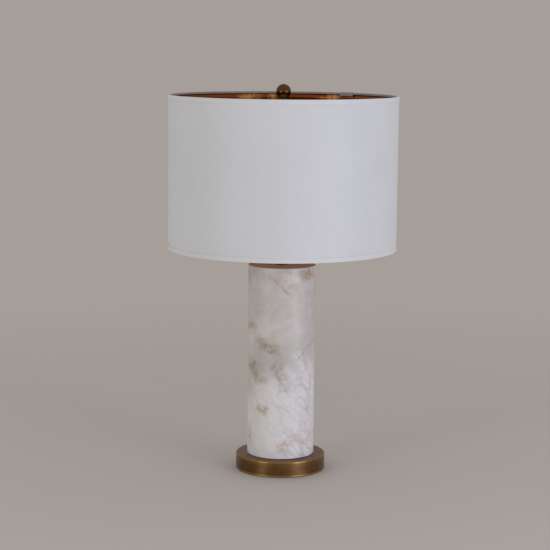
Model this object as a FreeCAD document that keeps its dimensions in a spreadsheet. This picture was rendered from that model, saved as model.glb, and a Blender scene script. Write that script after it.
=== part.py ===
"""Column table lamp: a polished stone column on a brass disc, under a white drum shade.

The lamp stands on the plane Z = 0 with its axis on Z. Its front faces -Y. All sizes are in millimetres.
"""

import FreeCAD, Part
import math
import os
import Sketcher

# Driving sizes: (name, value, what it measures).
SIZES = (
    # Base: a spun brass cover over an iron weight, on a felt pad.
    ("pad_inset", 2.5, "felt pad's edge inside the cover's"),
    ("pad_thick", 1.3, "felt pad, thickness"),
    ("base_dia", 149.4, "base cover, across"),
    ("base_tall", 25.4, "base cover, height"),
    ("base_wall", 1.2, "base cover, wall"),
    ("base_edge_round", 2.0, "base cover, radius of the top edge"),
    ("small_round", 0.4, "radius of thin rims and lips"),
    ("weight_gap", 0.3, "gap between the weight and the cover's wall"),
    ("pocket_dia", 80.0, "pocket under the weight, across"),
    ("pocket_deep", 13.0, "pocket under the weight, depth"),
    ("slot_gap", 1.2, "gap round the bushing in the weight's slot"),
    # Cord bushing in the back of the base.
    ("inlet_height", 9.5, "bushing's axis above the pad"),
    ("inlet_bore", 6.4, "bushing's bore"),
    ("bushing_dia", 9.6, "bushing's barrel, across"),
    ("bushing_long", 12.0, "bushing's barrel, length behind its flange"),
    ("bushing_flange_dia", 13.0, "bushing's flange, across"),
    ("bushing_flange_thick", 1.2, "bushing's flange, thickness"),
    ("bushing_gap", 0.1, "gap round the bushing's barrel"),
    # Threaded pipe that draws the lamp together, and what clamps it.
    ("pipe_dia", 10.2, "threaded pipe, across"),
    ("pipe_bore", 6.6, "threaded pipe, bore"),
    ("pipe_tip", 0.5, "chamfer at the pipe's ends"),
    ("pipe_gap", 0.2, "gap round the pipe in plain holes"),
    ("thread_gap", 0.05, "gap between mating threads"),
    ("clamp_washer_wide", 10.9, "clamping washer, width of its ring"),
    ("clamp_washer_thick", 2.0, "clamping washer, thickness"),
    ("lock_washer_wide", 3.9, "lock washer, width of its ring"),
    ("lock_washer_thick", 1.2, "lock washer, thickness"),
    ("lock_washer_slit", 1.5, "lock washer, slit"),
    ("nut_wall", 3.15, "pipe nut, from the pipe to its corners"),
    ("nut_thick", 4.0, "pipe nut, thickness"),
    ("pipe_below_nut", 2.0, "pipe's end below the nut"),
    # Stone column on its gasket.
    ("gasket_thick", 0.3, "gasket, thickness"),
    ("gasket_inset", 1.5, "gasket's edge inside the stone's"),
    ("stone_dia", 112.0, "stone column, across"),
    ("stone_tall", 319.7, "stone column, height"),
    ("stone_bore_gap", 1.9, "gap round the pipe in the stone's bore"),
    ("stone_edge_round", 1.0, "stone column, radius of both edges"),
    # Neck between the stone and the saddle.
    ("neck_dia", 19.0, "neck, across"),
    ("neck_tall", 35.0, "neck, height"),
    ("neck_edge_round", 0.6, "neck, radius of both edges"),
    # Harp: a saddle, a bent wire, its stud and two ferrules.
    ("saddle_spread", 57.2, "distance between the harp's feet"),
    ("saddle_margin", 1.25, "saddle strip beside the pipe, width"),
    ("saddle_thick", 1.5, "saddle strip, thickness"),
    ("saddle_bend_round", 3.0, "saddle strip, outer radius of its bends"),
    ("saddle_arm_tall", 8.0, "saddle's arms above its plate"),
    ("post_inset", 0.2, "post's side inside the harp wire's"),
    ("post_tall", 7.0, "posts on the saddle's arms, height"),
    ("harp_tall", 228.6, "harp, from the saddle plate to its top"),
    ("harp_wire_dia", 4.0, "harp wire, across"),
    ("harp_spread", 114.0, "harp, between its widest corners"),
    ("harp_leg_tall", 51.0, "harp's lower corners above the saddle plate"),
    ("harp_hip_tall", 109.0, "harp's widest corners above the saddle plate"),
    ("harp_top_spread", 76.0, "harp, between its upper corners"),
    ("harp_leg_round", 60.0, "harp, radius of the lower corners"),
    ("harp_hip_round", 120.0, "harp, radius of the widest corners"),
    ("harp_top_round", 36.0, "harp, radius of the upper corners"),
    ("harp_eye_dia", 12.4, "boss at the harp's top, across"),
    ("harp_eye_rise", 0.3, "boss at the harp's top above and below the wire"),
    ("stud_dia", 6.35, "threaded stud, across"),
    ("stud_tall", 11.0, "threaded stud above its flange"),
    ("stud_tip", 0.6, "chamfer at the stud's end"),
    ("stud_flange_dia", 15.8, "stud's flange, across"),
    ("stud_flange_thick", 1.5, "stud's flange, thickness"),
    ("rivet_dia", 4.4, "stud's rivet, across"),
    ("rivet_gap", 0.05, "gap round the rivet"),
    ("rivet_head_dia", 7.2, "rivet's head, across"),
    ("rivet_head_thick", 1.2, "rivet's head, thickness"),
    ("ferrule_wall", 1.2, "ferrule, wall"),
    ("ferrule_long", 14.0, "ferrule, length"),
    ("ferrule_gap", 0.1, "gap between a ferrule and the wire"),
    ("ferrule_lift", 0.3, "gap between a ferrule and the saddle's arm"),
    ("ferrule_edge_round", 0.5, "ferrule, radius of both edges"),
    # Lampholder: cap, shell, sleeve, core, threaded shell and contact.
    ("cap_tall", 22.0, "socket cap, height"),
    ("cap_wall", 0.8, "socket cap, wall"),
    ("cap_neck_dia", 16.0, "socket cap's neck, across"),
    ("cap_neck_tall", 6.0, "socket cap's neck, height"),
    ("cap_shoulder_tall", 13.0, "socket cap's shoulder above its foot"),
    ("cap_shoulder_round", 3.0, "socket cap, radius of the shoulder"),
    ("cap_screw_dia", 3.0, "socket cap's set screw, across"),
    ("cap_screw_head_dia", 4.6, "set screw's head, across"),
    ("cap_screw_head_thick", 1.2, "set screw's head, thickness"),
    ("cap_screw_height", 3.0, "set screw's axis above the cap's foot"),
    ("shell_lift", 1.4, "socket shell's foot above the cap's shoulder"),
    ("shell_tall", 42.0, "socket shell, height"),
    ("shell_wall", 0.6, "socket shell, wall"),
    ("shell_lip", 0.6, "socket shell's rolled lip, how far it stands out"),
    ("shell_lip_tall", 1.8, "socket shell's rolled lip, height"),
    ("socket_gap", 0.1, "gap between the lampholder's layers"),
    ("sleeve_wall", 0.5, "insulating sleeve, wall"),
    ("sleeve_gap", 1.0, "gap between the threaded shell and the sleeve"),
    ("core_gap", 0.3, "gap between the sleeve and the core"),
    ("core_lift", 0.8, "lampholder core's foot above the shell's"),
    ("core_tall", 19.0, "lampholder core, height"),
    ("core_edge_round", 0.8, "lampholder core, radius of its edges"),
    ("terminal_flat_deep", 4.0, "terminal flats, depth inside the core's side"),
    ("terminal_flat_tall", 8.5, "terminal flats, height"),
    ("terminal_height", 4.4, "terminal screws above the core's foot"),
    ("terminal_head_dia", 6.4, "terminal screw's head, across"),
    ("terminal_head_thick", 1.8, "terminal screw's head, thickness"),
    ("terminal_shank_dia", 3.4, "terminal screw's shank, across"),
    ("terminal_shank_long", 4.0, "terminal screw's shank, length"),
    ("screw_shell_wall", 0.6, "threaded shell, wall"),
    ("screw_shell_tall", 20.5, "threaded shell, height"),
    ("contact_gap", 1.5, "gap between the centre contact and the threaded shell's floor"),
    ("contact_wide", 5.0, "centre contact, width"),
    ("contact_thick", 0.6, "centre contact, thickness"),
    ("contact_long", 10.0, "centre contact, length"),
    ("contact_rise", 2.2, "centre contact, height of its tip"),
    # Turn switch in the front of the lampholder.
    ("switch_above_cap", 4.3, "switch shaft above the cap's rim"),
    ("switch_hole_gap", 2.0, "gap round the switch shaft in shell and sleeve"),
    ("shaft_dia", 4.0, "switch shaft, across"),
    ("shaft_inner", 4.0, "switch shaft's inner end from the lamp's axis"),
    ("shaft_in_knob", 8.0, "length of the switch shaft inside its knob"),
    ("shaft_gap", 0.05, "gap round the switch shaft in the core"),
    ("knob_dia", 11.0, "switch knob, across"),
    ("knob_waist_dia", 7.6, "switch knob's waist, across"),
    ("knob_waist_long", 5.0, "switch knob's waist, length"),
    ("knob_long", 17.0, "switch knob, length"),
    ("knob_gap", 5.9, "gap between the socket shell and the switch knob"),
    ("knob_round", 1.2, "switch knob, radius of its edges"),
    # Bulb with a screw cap.
    ("bulb_thread_dia", 26.3, "bulb's screw cap, across"),
    ("bulb_thread_gap", 0.1, "gap between the bulb's cap and the threaded shell"),
    ("bulb_cap_wall", 0.5, "bulb's screw cap, wall"),
    ("bulb_cap_tall", 23.0, "bulb's screw cap, height"),
    ("bulb_insulator_tall", 2.6, "bulb's insulator, height"),
    ("bulb_contact_dia", 9.0, "bulb's contact, across"),
    ("bulb_contact_thick", 0.8, "bulb's contact, thickness"),
    ("bulb_contact_gap", 0.1, "gap between the bulb's contact and the leaf"),
    ("bulb_dia", 60.0, "bulb's glass, across"),
    ("bulb_glass_tall", 88.0, "bulb's glass above the rim of its cap"),
    ("bulb_glass_wall", 0.8, "bulb's glass, wall"),
    ("bulb_neck_gap", 0.15, "gap between the bulb's neck and its cap"),
    ("bulb_neck_deep", 4.0, "bulb's neck inside its cap"),
    ("bulb_neck_tall", 16.0, "bulb's neck, height of its corner"),
    ("bulb_cheek_drop", 10.0, "bulb's cheek below the end of its crown"),
    ("bulb_crown_flat", 1.0, "bulb's glass, radius of the flat on its crown"),
    ("bulb_cheek_round", 24.0, "bulb's glass, radius of its cheek"),
    ("bulb_neck_round", 20.0, "bulb's glass, radius at its neck"),
    # Shade: a drum of cloth on a stiff lining, two wire rings and a three-armed spider.
    ("shade_dia", 381.0, "shade, across"),
    ("shade_tall", 254.0, "shade, height"),
    ("shade_rise", 15.5, "shade's top edge above the spider's hub"),
    ("cloth_thick", 0.5, "shade's cloth, thickness"),
    ("lining_thick", 0.5, "shade's lining, thickness"),
    ("trim_thick", 0.8, "trim tape, thickness of its two layers"),
    ("trim_outer_tall", 8.0, "trim tape outside the shade, height"),
    ("trim_inner_tall", 4.5, "trim tape inside the shade, height"),
    ("trim_round", 1.3, "trim tape, radius over the rim"),
    ("ring_wire_dia", 2.0, "ring wire, across"),
    ("ring_gap", 0.05, "gap between the ring wire and its neighbours"),
    ("slit_gap", 0.4, "gap beside a spider's arm where the trim is slit for it"),
    ("tab_wide_angle", 8.0, "lapped end of the trim, angle that it takes"),
    ("tab_place_angle", 50.0, "lapped end of the trim, angle from +X"),
    ("tab_thick", 0.4, "lapped end of the trim, thickness of its one layer"),
    ("tab_drop", 3.5, "lapped end of the trim, how far it hangs lower"),
    ("hub_dia", 22.0, "spider's hub washer, across"),
    ("hub_gap", 0.4, "gap round the stud in the spider's hub"),
    ("hub_thick", 1.6, "spider's hub washer, thickness"),
    ("arm_wire_dia", 2.8, "spider's arm, across"),
    ("arm_count", 3, "spider's arms"),
    ("arm_flat", 26.0, "radius where the arms start to rise"),
    ("arm_bend_round", 20.0, "spider's arms, radius of the bend"),
    ("running_gap", 0.05, "gap between pieces that turn on each other"),
    # Finial: a ball on a fluted collar, with a threaded insert.
    ("ball_dia", 24.6, "finial ball, across"),
    ("ball_seat_inset", 0.65, "ball's flat inside the collar's edge"),
    ("collar_dia", 15.3, "finial collar, across"),
    ("collar_tall", 9.1, "finial collar, height"),
    ("collar_edge_round", 0.6, "finial collar, radius of its edges"),
    ("flute_dia", 1.0, "collar's flutes, across"),
    ("flute_count", 28, "collar's flutes"),
    ("insert_wall", 1.55, "finial insert, wall"),
    ("insert_over", 4.7, "finial insert above the stud's end"),
    ("insert_bore_gap", 0.075, "gap between the insert and the stud"),
)

AXIS = None  # a coordinate that lies on the sketch's own axis
UP = FreeCAD.Vector(0, 0, 1)
FULL_TURN = 360
NUT_SIDES = 6

# Heights, each worked out from the sizes under it.
PAD_TOP = "Size.pad_thick"
BASE_TOP = f"({PAD_TOP} + Size.base_tall)"
WEIGHT_TOP = f"({BASE_TOP} - Size.base_wall)"
POCKET_TOP = f"({PAD_TOP} + Size.pocket_deep)"
CLAMP_WASHER_FOOT = f"({POCKET_TOP} - Size.clamp_washer_thick)"
LOCK_WASHER_FOOT = f"({CLAMP_WASHER_FOOT} - Size.lock_washer_thick)"
NUT_FOOT = f"({LOCK_WASHER_FOOT} - Size.nut_thick)"
PIPE_FOOT = f"({NUT_FOOT} - Size.pipe_below_nut)"
INLET = f"({PAD_TOP} + Size.inlet_height)"
STONE_FOOT = f"({BASE_TOP} + Size.gasket_thick)"
STONE_TOP = f"({STONE_FOOT} + Size.stone_tall)"
NECK_TOP = f"({STONE_TOP} + Size.neck_tall)"
SADDLE_TOP = f"({NECK_TOP} + Size.saddle_thick)"
ARM_TOP = f"({SADDLE_TOP} + Size.saddle_arm_tall)"
POST_TOP = f"({ARM_TOP} + Size.post_tall)"
HARP_TOP = f"({NECK_TOP} + Size.harp_tall)"
EYE_THICK = "(Size.harp_wire_dia + 2 * Size.harp_eye_rise)"
HARP_LINE = f"({HARP_TOP} - {EYE_THICK} / 2)"
EYE_FOOT = f"({HARP_TOP} - {EYE_THICK})"
FLANGE_TOP = f"({HARP_TOP} + Size.stud_flange_thick)"
STUD_TOP = f"({FLANGE_TOP} + Size.stud_tall)"
CAP_NECK_TOP = f"({SADDLE_TOP} + Size.cap_neck_tall)"
CAP_SHOULDER = f"({SADDLE_TOP} + Size.cap_shoulder_tall)"
CAP_TOP = f"({SADDLE_TOP} + Size.cap_tall)"
PIPE_TOP = f"({CAP_NECK_TOP} + Size.cap_wall)"
SHELL_FOOT = f"({CAP_SHOULDER} + Size.cap_wall + Size.shell_lift)"
SHELL_TOP = f"({SHELL_FOOT} + Size.shell_tall)"
SWITCH = f"({CAP_TOP} + Size.switch_above_cap)"
CORE_FOOT = f"({SHELL_FOOT} + Size.core_lift)"
CORE_TOP = f"({CORE_FOOT} + Size.core_tall)"
SCREW_SHELL_TOP = f"({CORE_TOP} + Size.screw_shell_tall)"
LEAF_TOP = f"({CORE_TOP} + Size.contact_rise)"
BULB_FOOT = f"({LEAF_TOP} + Size.bulb_contact_gap)"
BULB_INSULATOR_FOOT = f"({BULB_FOOT} + Size.bulb_contact_thick)"
BULB_CAP_FOOT = f"({BULB_INSULATOR_FOOT} + Size.bulb_insulator_tall)"
BULB_CAP_TOP = f"({BULB_CAP_FOOT} + Size.bulb_cap_tall)"
BULB_TOP = f"({BULB_CAP_TOP} + Size.bulb_glass_tall)"
HUB_FOOT = f"({FLANGE_TOP} + Size.running_gap)"
HUB_TOP = f"({HUB_FOOT} + Size.hub_thick)"
HUB_MIDDLE = f"({HUB_FOOT} + Size.hub_thick / 2)"
SHADE_TOP = f"({HUB_FOOT} + Size.shade_rise)"
SHADE_FOOT = f"({SHADE_TOP} - Size.shade_tall)"
TOP_RING = f"({SHADE_TOP} - Size.trim_thick - Size.ring_gap - Size.ring_wire_dia / 2)"
BOTTOM_RING = f"({SHADE_FOOT} + Size.trim_thick + Size.ring_gap + Size.ring_wire_dia / 2)"
ARM_END = f"({SHADE_TOP} - Size.trim_thick - Size.ring_gap - Size.arm_wire_dia / 2)"
COLLAR_FOOT = f"({HUB_TOP} + Size.running_gap)"
COLLAR_TOP = f"({COLLAR_FOOT} + Size.collar_tall)"
INSERT_TOP = f"({STUD_TOP} + Size.insert_over)"
BALL_SEAT = "(Size.collar_dia / 2 - Size.ball_seat_inset)"
BALL_CENTRE = f"({COLLAR_TOP} + sqrt((Size.ball_dia / 2) ^ 2 - {BALL_SEAT} ^ 2))"

# Radii, each worked out from the layers outside or inside it.
PIPE_RADIUS = "(Size.pipe_dia / 2)"
PLAIN_HOLE = f"({PIPE_RADIUS} + Size.pipe_gap)"
THREADED_HOLE = f"({PIPE_RADIUS} + Size.thread_gap)"
WEIGHT_RADIUS = "(Size.base_dia / 2 - Size.base_wall - Size.weight_gap)"
FOOT_PLACE = "(Size.saddle_spread / 2)"
FERRULE_BORE = "(Size.harp_wire_dia / 2 + Size.ferrule_gap)"
BULB_THREAD = "(Size.bulb_thread_dia / 2)"
BULB_CAP_INNER = f"({BULB_THREAD} - Size.bulb_cap_wall)"
BULB_NECK = f"({BULB_CAP_INNER} - Size.bulb_neck_gap)"
SCREW_SHELL_INNER = f"({BULB_THREAD} + Size.bulb_thread_gap)"
SCREW_SHELL_RADIUS = f"({SCREW_SHELL_INNER} + Size.screw_shell_wall)"
SLEEVE_INNER = f"({SCREW_SHELL_RADIUS} + Size.sleeve_gap)"
SLEEVE_RADIUS = f"({SLEEVE_INNER} + Size.sleeve_wall)"
SHELL_INNER = f"({SLEEVE_RADIUS} + Size.socket_gap)"
SHELL_RADIUS = f"({SHELL_INNER} + Size.shell_wall)"
CAP_INNER = f"({SHELL_RADIUS} + Size.socket_gap)"
CAP_RADIUS = f"({CAP_INNER} + Size.cap_wall)"
CORE_RADIUS = f"({SLEEVE_INNER} - Size.core_gap)"
TERMINAL_FLAT = f"({CORE_RADIUS} - Size.terminal_flat_deep)"
KNOB_NEAR = f"({SHELL_RADIUS} + Size.knob_gap)"
KNOB_FAR = f"({KNOB_NEAR} + Size.knob_long)"
SHAFT_OUTER = f"({KNOB_NEAR} + Size.shaft_in_knob)"
CLOTH_RADIUS = "(Size.shade_dia / 2 - Size.trim_thick)"
LINING_RADIUS = f"({CLOTH_RADIUS} - Size.cloth_thick)"
LINING_INNER = f"({LINING_RADIUS} - Size.lining_thick)"
RING_LINE = f"({LINING_INNER} - Size.ring_gap - Size.ring_wire_dia / 2)"
TRIM_WALL = f"({RING_LINE} - Size.ring_wire_dia / 2 - Size.ring_gap)"
TRIM_INNER = f"({TRIM_WALL} - Size.trim_thick)"
INSERT_BORE = "(Size.stud_dia / 2 + Size.insert_bore_gap)"
INSERT_RADIUS = f"({INSERT_BORE} + Size.insert_wall)"

DOCUMENT = FreeCAD.newDocument("column_table_lamp")
SHEET = DOCUMENT.addObject("Spreadsheet::Sheet", "Size")
FINISHED = []  # the document objects that are whole pieces, in building order


def fill_sheet():
    """Writes each driving size into its own named cell, beside what it measures."""
    for row, (name, value, meaning) in enumerate(SIZES, start=1):
        SHEET.set(f"A{row}", meaning)
        SHEET.set(f"B{row}", str(value))
        SHEET.setAlias(f"B{row}", name)
    DOCUMENT.recompute()


def amount(expression):
    """The present number of an expression on the sheet, and 0 on an axis."""
    return 0.0 if expression is AXIS else float(SHEET.evalExpression(expression))


# ---------------------------------------------------------------- sketches


def new_body(label):
    """An empty body that becomes one piece."""
    body = DOCUMENT.addObject("PartDesign::Body", label)
    body.Label = label
    FINISHED.append(body)
    return body


def origin_feature(body, role):
    """One of the body's own origin planes or axes."""
    return next(part for part in body.Origin.OriginFeatures if part.Role == role)


def new_sketch(body, name, role, lift=None):
    """A sketch on an origin plane of its body, moved along the plane's normal by lift."""
    sketch = body.newObject("Sketcher::SketchObject", f"{body.Name}_{name}")
    sketch.AttachmentSupport = [(origin_feature(body, role), "")]
    sketch.MapMode = "FlatFace"
    if lift is not None:
        sketch.setExpression("AttachmentOffset.Base.z", lift)
    DOCUMENT.recompute()
    return sketch


class Drawing:
    """Collects a sketch's constraints, so that one solve settles geometry that is already in place."""

    def __init__(self, sketch):
        self.sketch = sketch
        self.constraints = []
        self.expressions = {}

    def tie(self, kind, *where):
        """A constraint without a size."""
        self.constraints.append(Sketcher.Constraint(kind, *where))

    def bind(self, kind, expression, *where):
        """A dimension that follows an expression on the sheet."""
        self.expressions[len(self.constraints)] = expression
        self.constraints.append(Sketcher.Constraint(kind, *where, amount(expression)))

    def place(self, geometry, point, across, up):
        """Ties a point to its distances from the sketch's two axes."""
        for kind, axis, expression in (("DistanceX", -2, across), ("DistanceY", -1, up)):
            if expression is AXIS:
                self.tie("PointOnObject", geometry, point, axis)
            else:
                self.bind(kind, expression, -1, 1, geometry, point)

    def settle(self):
        """Hands all constraints to the sketch and binds their sizes."""
        first = self.sketch.ConstraintCount
        self.sketch.addConstraint(self.constraints)
        for index, expression in self.expressions.items():
            self.sketch.setExpression(f"Constraints[{first + index}]", expression)


def corner_arc(before, corner, after, radius):
    """Start, centre and end of the arc that rounds a corner."""
    towards_before = (before - corner).normalize()
    towards_after = (after - corner).normalize()
    bisector = (towards_before + towards_after).normalize()
    cosine = towards_before.dot(bisector)
    sine = (towards_before - bisector * cosine).Length
    reach = radius * cosine / sine
    centre = corner + bisector * (radius / sine)
    return corner + towards_before * reach, centre, corner + towards_after * reach


def draw_line(sketch, corners, closed=True):
    """Straight lines through the corners (across, up[, radius]), with tangent arcs at rounded ones."""
    corners = [corner if len(corner) == 3 else (*corner, None) for corner in corners]
    points = [FreeCAD.Vector(amount(across), amount(up), 0) for across, up, _ in corners]
    count = len(points)
    starts, ends, arcs = list(points), list(points), {}
    for index, (_, _, radius) in enumerate(corners):
        if radius is not None:
            following = points[(index + 1) % count]
            arcs[index] = corner_arc(points[index - 1], points[index], following, amount(radius))
            ends[index], _, starts[index] = arcs[index]
    lines = {
        index: sketch.addGeometry(Part.LineSegment(starts[index], ends[(index + 1) % count]), False)
        for index in range(count if closed else count - 1)
    }
    drawing = Drawing(sketch)
    for index, (across, up, radius) in enumerate(corners):
        line_in = lines.get((index - 1) % count)
        line_out = lines.get(index)
        if radius is not None:
            round_corner(drawing, line_in, line_out, arcs[index], points[index], radius)
            drawing.place(sketch.GeometryCount - 1, 1, across, up)
        elif line_out is None:
            drawing.place(line_in, 2, across, up)
        else:
            if line_in is not None:
                drawing.tie("Coincident", line_in, 2, line_out, 1)
            drawing.place(line_out, 1, across, up)
    drawing.settle()


def round_corner(drawing, line_in, line_out, arc_points, point, radius):
    """A tangent arc between two lines, whose sharp corner stays as a construction point, added last."""
    start, centre, end = arc_points
    leftward = (point - start).cross(end - point).z > 0
    first, last = (1, 2) if leftward else (2, 1)
    begin, finish = (start, end) if leftward else (end, start)
    circle = Part.Circle(centre, UP, (start - centre).Length)
    angles = [math.atan2(spot.y - centre.y, spot.x - centre.x) for spot in (begin, finish)]
    sketch = drawing.sketch
    arc = sketch.addGeometry(Part.ArcOfCircle(circle, *angles), False)
    drawing.tie("Tangent", line_in, 2, arc, first)
    drawing.tie("Tangent", arc, last, line_out, 1)
    drawing.bind("Radius", radius, arc)
    corner = sketch.addGeometry(Part.Point(point), True)
    drawing.tie("PointOnObject", corner, 1, line_in)
    drawing.tie("PointOnObject", corner, 1, line_out)


def draw_circle(sketch, radius, across=AXIS, up=AXIS):
    """A circle of a bound radius round a bound centre."""
    centre = FreeCAD.Vector(amount(across), amount(up), 0)
    circle = sketch.addGeometry(Part.Circle(centre, UP, amount(radius)), False)
    drawing = Drawing(sketch)
    drawing.bind("Radius", radius, circle)
    drawing.place(circle, 3, across, up)
    drawing.settle()


def draw_box(sketch, left, right, low, high):
    """A rectangle with bound sides."""
    draw_line(sketch, [(left, low), (right, low), (right, high), (left, high)])


# ---------------------------------------------------------------- features


def add_revolution(body, outline, angle=None):
    """A solid of revolution about the body's Z axis, from an outline in its XZ plane."""
    sketch = new_sketch(body, "outline", "XZ_Plane")
    draw_line(sketch, outline)
    feature = body.newObject("PartDesign::Revolution", f"{body.Name}_revolution")
    feature.Profile = sketch
    feature.ReferenceAxis = (sketch, ["V_Axis"])
    feature.Angle = FULL_TURN
    if angle is not None:
        feature.setExpression("Angle", angle)
    DOCUMENT.recompute()
    return feature


def turned(label, outline, angle=None):
    """A piece that is one solid of revolution about Z."""
    body = new_body(label)
    add_revolution(body, outline, angle)
    return body


def add_pad(body, sketch, length, both_ways=False, name="pad"):
    """Material along the sketch's normal."""
    feature = body.newObject("PartDesign::Pad", f"{body.Name}_{name}")
    feature.Profile = sketch
    feature.Midplane = both_ways
    feature.setExpression("Length", length)
    DOCUMENT.recompute()
    return feature


def add_pocket(body, sketch, length, along_normal=False, both_ways=False, name="pocket"):
    """A cut from the sketch, against its normal unless told otherwise; it must take something away."""
    before = body.Shape.Volume
    feature = body.newObject("PartDesign::Pocket", f"{body.Name}_{name}")
    feature.Profile = sketch
    feature.Type = "Length"
    feature.Reversed = along_normal
    feature.Midplane = both_ways
    feature.setExpression("Length", length)
    DOCUMENT.recompute()
    if body.Shape.Volume >= before:
        raise RuntimeError(f"{feature.Name} cuts nothing")
    return feature


def add_polar_pattern(body, feature, count):
    """Repeats a feature evenly round the body's Z axis."""
    pattern = body.newObject("PartDesign::PolarPattern", f"{body.Name}_pattern")
    pattern.Originals = [feature]
    pattern.Axis = (origin_feature(body, "Z_Axis"), [""])
    pattern.Angle = FULL_TURN
    pattern.setExpression("Occurrences", count)
    DOCUMENT.recompute()
    body.Tip = pattern
    DOCUMENT.recompute()
    return pattern


def turn_to(piece, axis, degrees, **offsets):
    """Turns a piece about an axis through the origin, then moves it by bound offsets x, y or z."""
    piece.Placement = FreeCAD.Placement(FreeCAD.Vector(), FreeCAD.Rotation(FreeCAD.Vector(*axis), degrees))
    for direction, expression in offsets.items():
        piece.setExpression(f"Placement.Base.{direction}", expression)
    DOCUMENT.recompute()


def primitive(kind, name, sizes, **offsets):
    """A Part primitive with bound sizes and a bound place."""
    solid = DOCUMENT.addObject(f"Part::{kind}", name)
    for size, expression in sizes.items():
        solid.setExpression(size, expression)
    for direction, expression in offsets.items():
        solid.setExpression(f"Placement.Base.{direction}", expression)
    return solid


def boolean(kind, name, base, tool, finished=False):
    """Part::Cut or Part::Fuse of two solids."""
    result = DOCUMENT.addObject(f"Part::{kind}", name)
    result.Base = base
    result.Tool = tool
    result.Label = name
    if finished:
        FINISHED.append(result)
    DOCUMENT.recompute()
    return result


def tube_outline(inner, outer, low, high, edge_round=None):
    """A rectangle in section, with its two outer corners rounded where a radius is given."""
    return [(inner, low), (outer, low, edge_round), (outer, high, edge_round), (inner, high)]


# ---------------------------------------------------------------- base


def make_felt_pad():
    """Felt disc under the base, a little smaller than the cover."""
    turned("felt_pad", tube_outline(AXIS, "Size.base_dia / 2 - Size.pad_inset", AXIS, PAD_TOP))


def make_base_weight():
    """Iron disc inside the cover, with a pocket for the nut and a slot for the cord."""
    body = turned("base_weight", [
        (PLAIN_HOLE, POCKET_TOP),
        ("Size.pocket_dia / 2", POCKET_TOP),
        ("Size.pocket_dia / 2", PAD_TOP),
        (WEIGHT_RADIUS, PAD_TOP),
        (WEIGHT_RADIUS, WEIGHT_TOP),
        (PLAIN_HOLE, WEIGHT_TOP),
    ])
    slot = new_sketch(body, "slot", "XY_Plane", lift=PAD_TOP)
    half = "(Size.bushing_dia / 2 + Size.slot_gap)"
    draw_box(slot, f"-{half}", half, "Size.pocket_dia / 4", "Size.base_dia / 2")
    add_pocket(body, slot, f"Size.inlet_height + {half}", along_normal=True)


def make_base_cover():
    """Spun cover with a rounded top edge, drilled for the pipe and, at the back, for the bushing."""
    inner = "(Size.base_dia / 2 - Size.base_wall)"
    body = turned("base_cover", [
        (PLAIN_HOLE, WEIGHT_TOP),
        (inner, WEIGHT_TOP),
        (inner, PAD_TOP),
        ("Size.base_dia / 2", PAD_TOP, "Size.small_round"),
        ("Size.base_dia / 2", BASE_TOP, "Size.base_edge_round"),
        (PLAIN_HOLE, BASE_TOP),
    ])
    hole = new_sketch(body, "inlet", "XZ_Plane")
    draw_circle(hole, "Size.bushing_dia / 2 + Size.bushing_gap", AXIS, INLET)
    add_pocket(body, hole, "Size.base_dia")


def make_cord_bushing():
    """Flanged bushing through the back of the cover, for the cord."""
    body = turned("cord_bushing", [
        ("Size.inlet_bore / 2", "-Size.bushing_long"),
        ("Size.bushing_dia / 2", "-Size.bushing_long"),
        ("Size.bushing_dia / 2", AXIS),
        ("Size.bushing_flange_dia / 2", AXIS),
        ("Size.bushing_flange_dia / 2", "Size.bushing_flange_thick", "Size.small_round"),
        ("Size.inlet_bore / 2", "Size.bushing_flange_thick", "Size.small_round"),
    ])
    turn_to(body, (1, 0, 0), -90, y="Size.base_dia / 2", z=INLET)


def make_clamp():
    """Washer, split lock washer and nut that hold the pipe in the weight."""
    clamp_radius = f"{PIPE_RADIUS} + Size.clamp_washer_wide"
    lock_radius = f"{PIPE_RADIUS} + Size.lock_washer_wide"
    turned("clamp_washer", tube_outline(PLAIN_HOLE, clamp_radius, CLAMP_WASHER_FOOT, POCKET_TOP))
    ring_outline = tube_outline(PLAIN_HOLE, lock_radius, LOCK_WASHER_FOOT, CLAMP_WASHER_FOOT)
    ring = turned("lock_washer_ring", ring_outline)
    FINISHED.remove(ring)
    slit_sizes = {"Length": lock_radius, "Width": "Size.lock_washer_slit", "Height": "Size.pocket_deep"}
    slit = primitive("Box", "lock_washer_slit", slit_sizes, y="-Size.lock_washer_slit / 2", z=PAD_TOP)
    boolean("Cut", "lock_washer", ring, slit, finished=True)
    hexagon = primitive(
        "Prism",
        "nut_hexagon",
        {"Circumradius": f"{PIPE_RADIUS} + Size.nut_wall", "Height": "Size.nut_thick"},
        z=NUT_FOOT,
    )
    hexagon.Polygon = NUT_SIDES
    bore_sizes = {"Radius": THREADED_HOLE, "Height": "Size.pocket_deep"}
    bore = primitive("Cylinder", "nut_bore", bore_sizes, z=PAD_TOP)
    boolean("Cut", "pipe_nut", hexagon, bore, finished=True)


def make_threaded_pipe():
    """Pipe from the nut up through the stone, the neck and the saddle into the socket cap."""
    bore = "Size.pipe_bore / 2"
    tip_radius = f"({PIPE_RADIUS} - Size.pipe_tip)"
    turned("threaded_pipe", [
        (bore, PIPE_FOOT),
        (tip_radius, PIPE_FOOT),
        (PIPE_RADIUS, f"{PIPE_FOOT} + Size.pipe_tip"),
        (PIPE_RADIUS, f"{PIPE_TOP} - Size.pipe_tip"),
        (tip_radius, PIPE_TOP),
        (bore, PIPE_TOP),
    ])


# ---------------------------------------------------------------- column and neck


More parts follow.
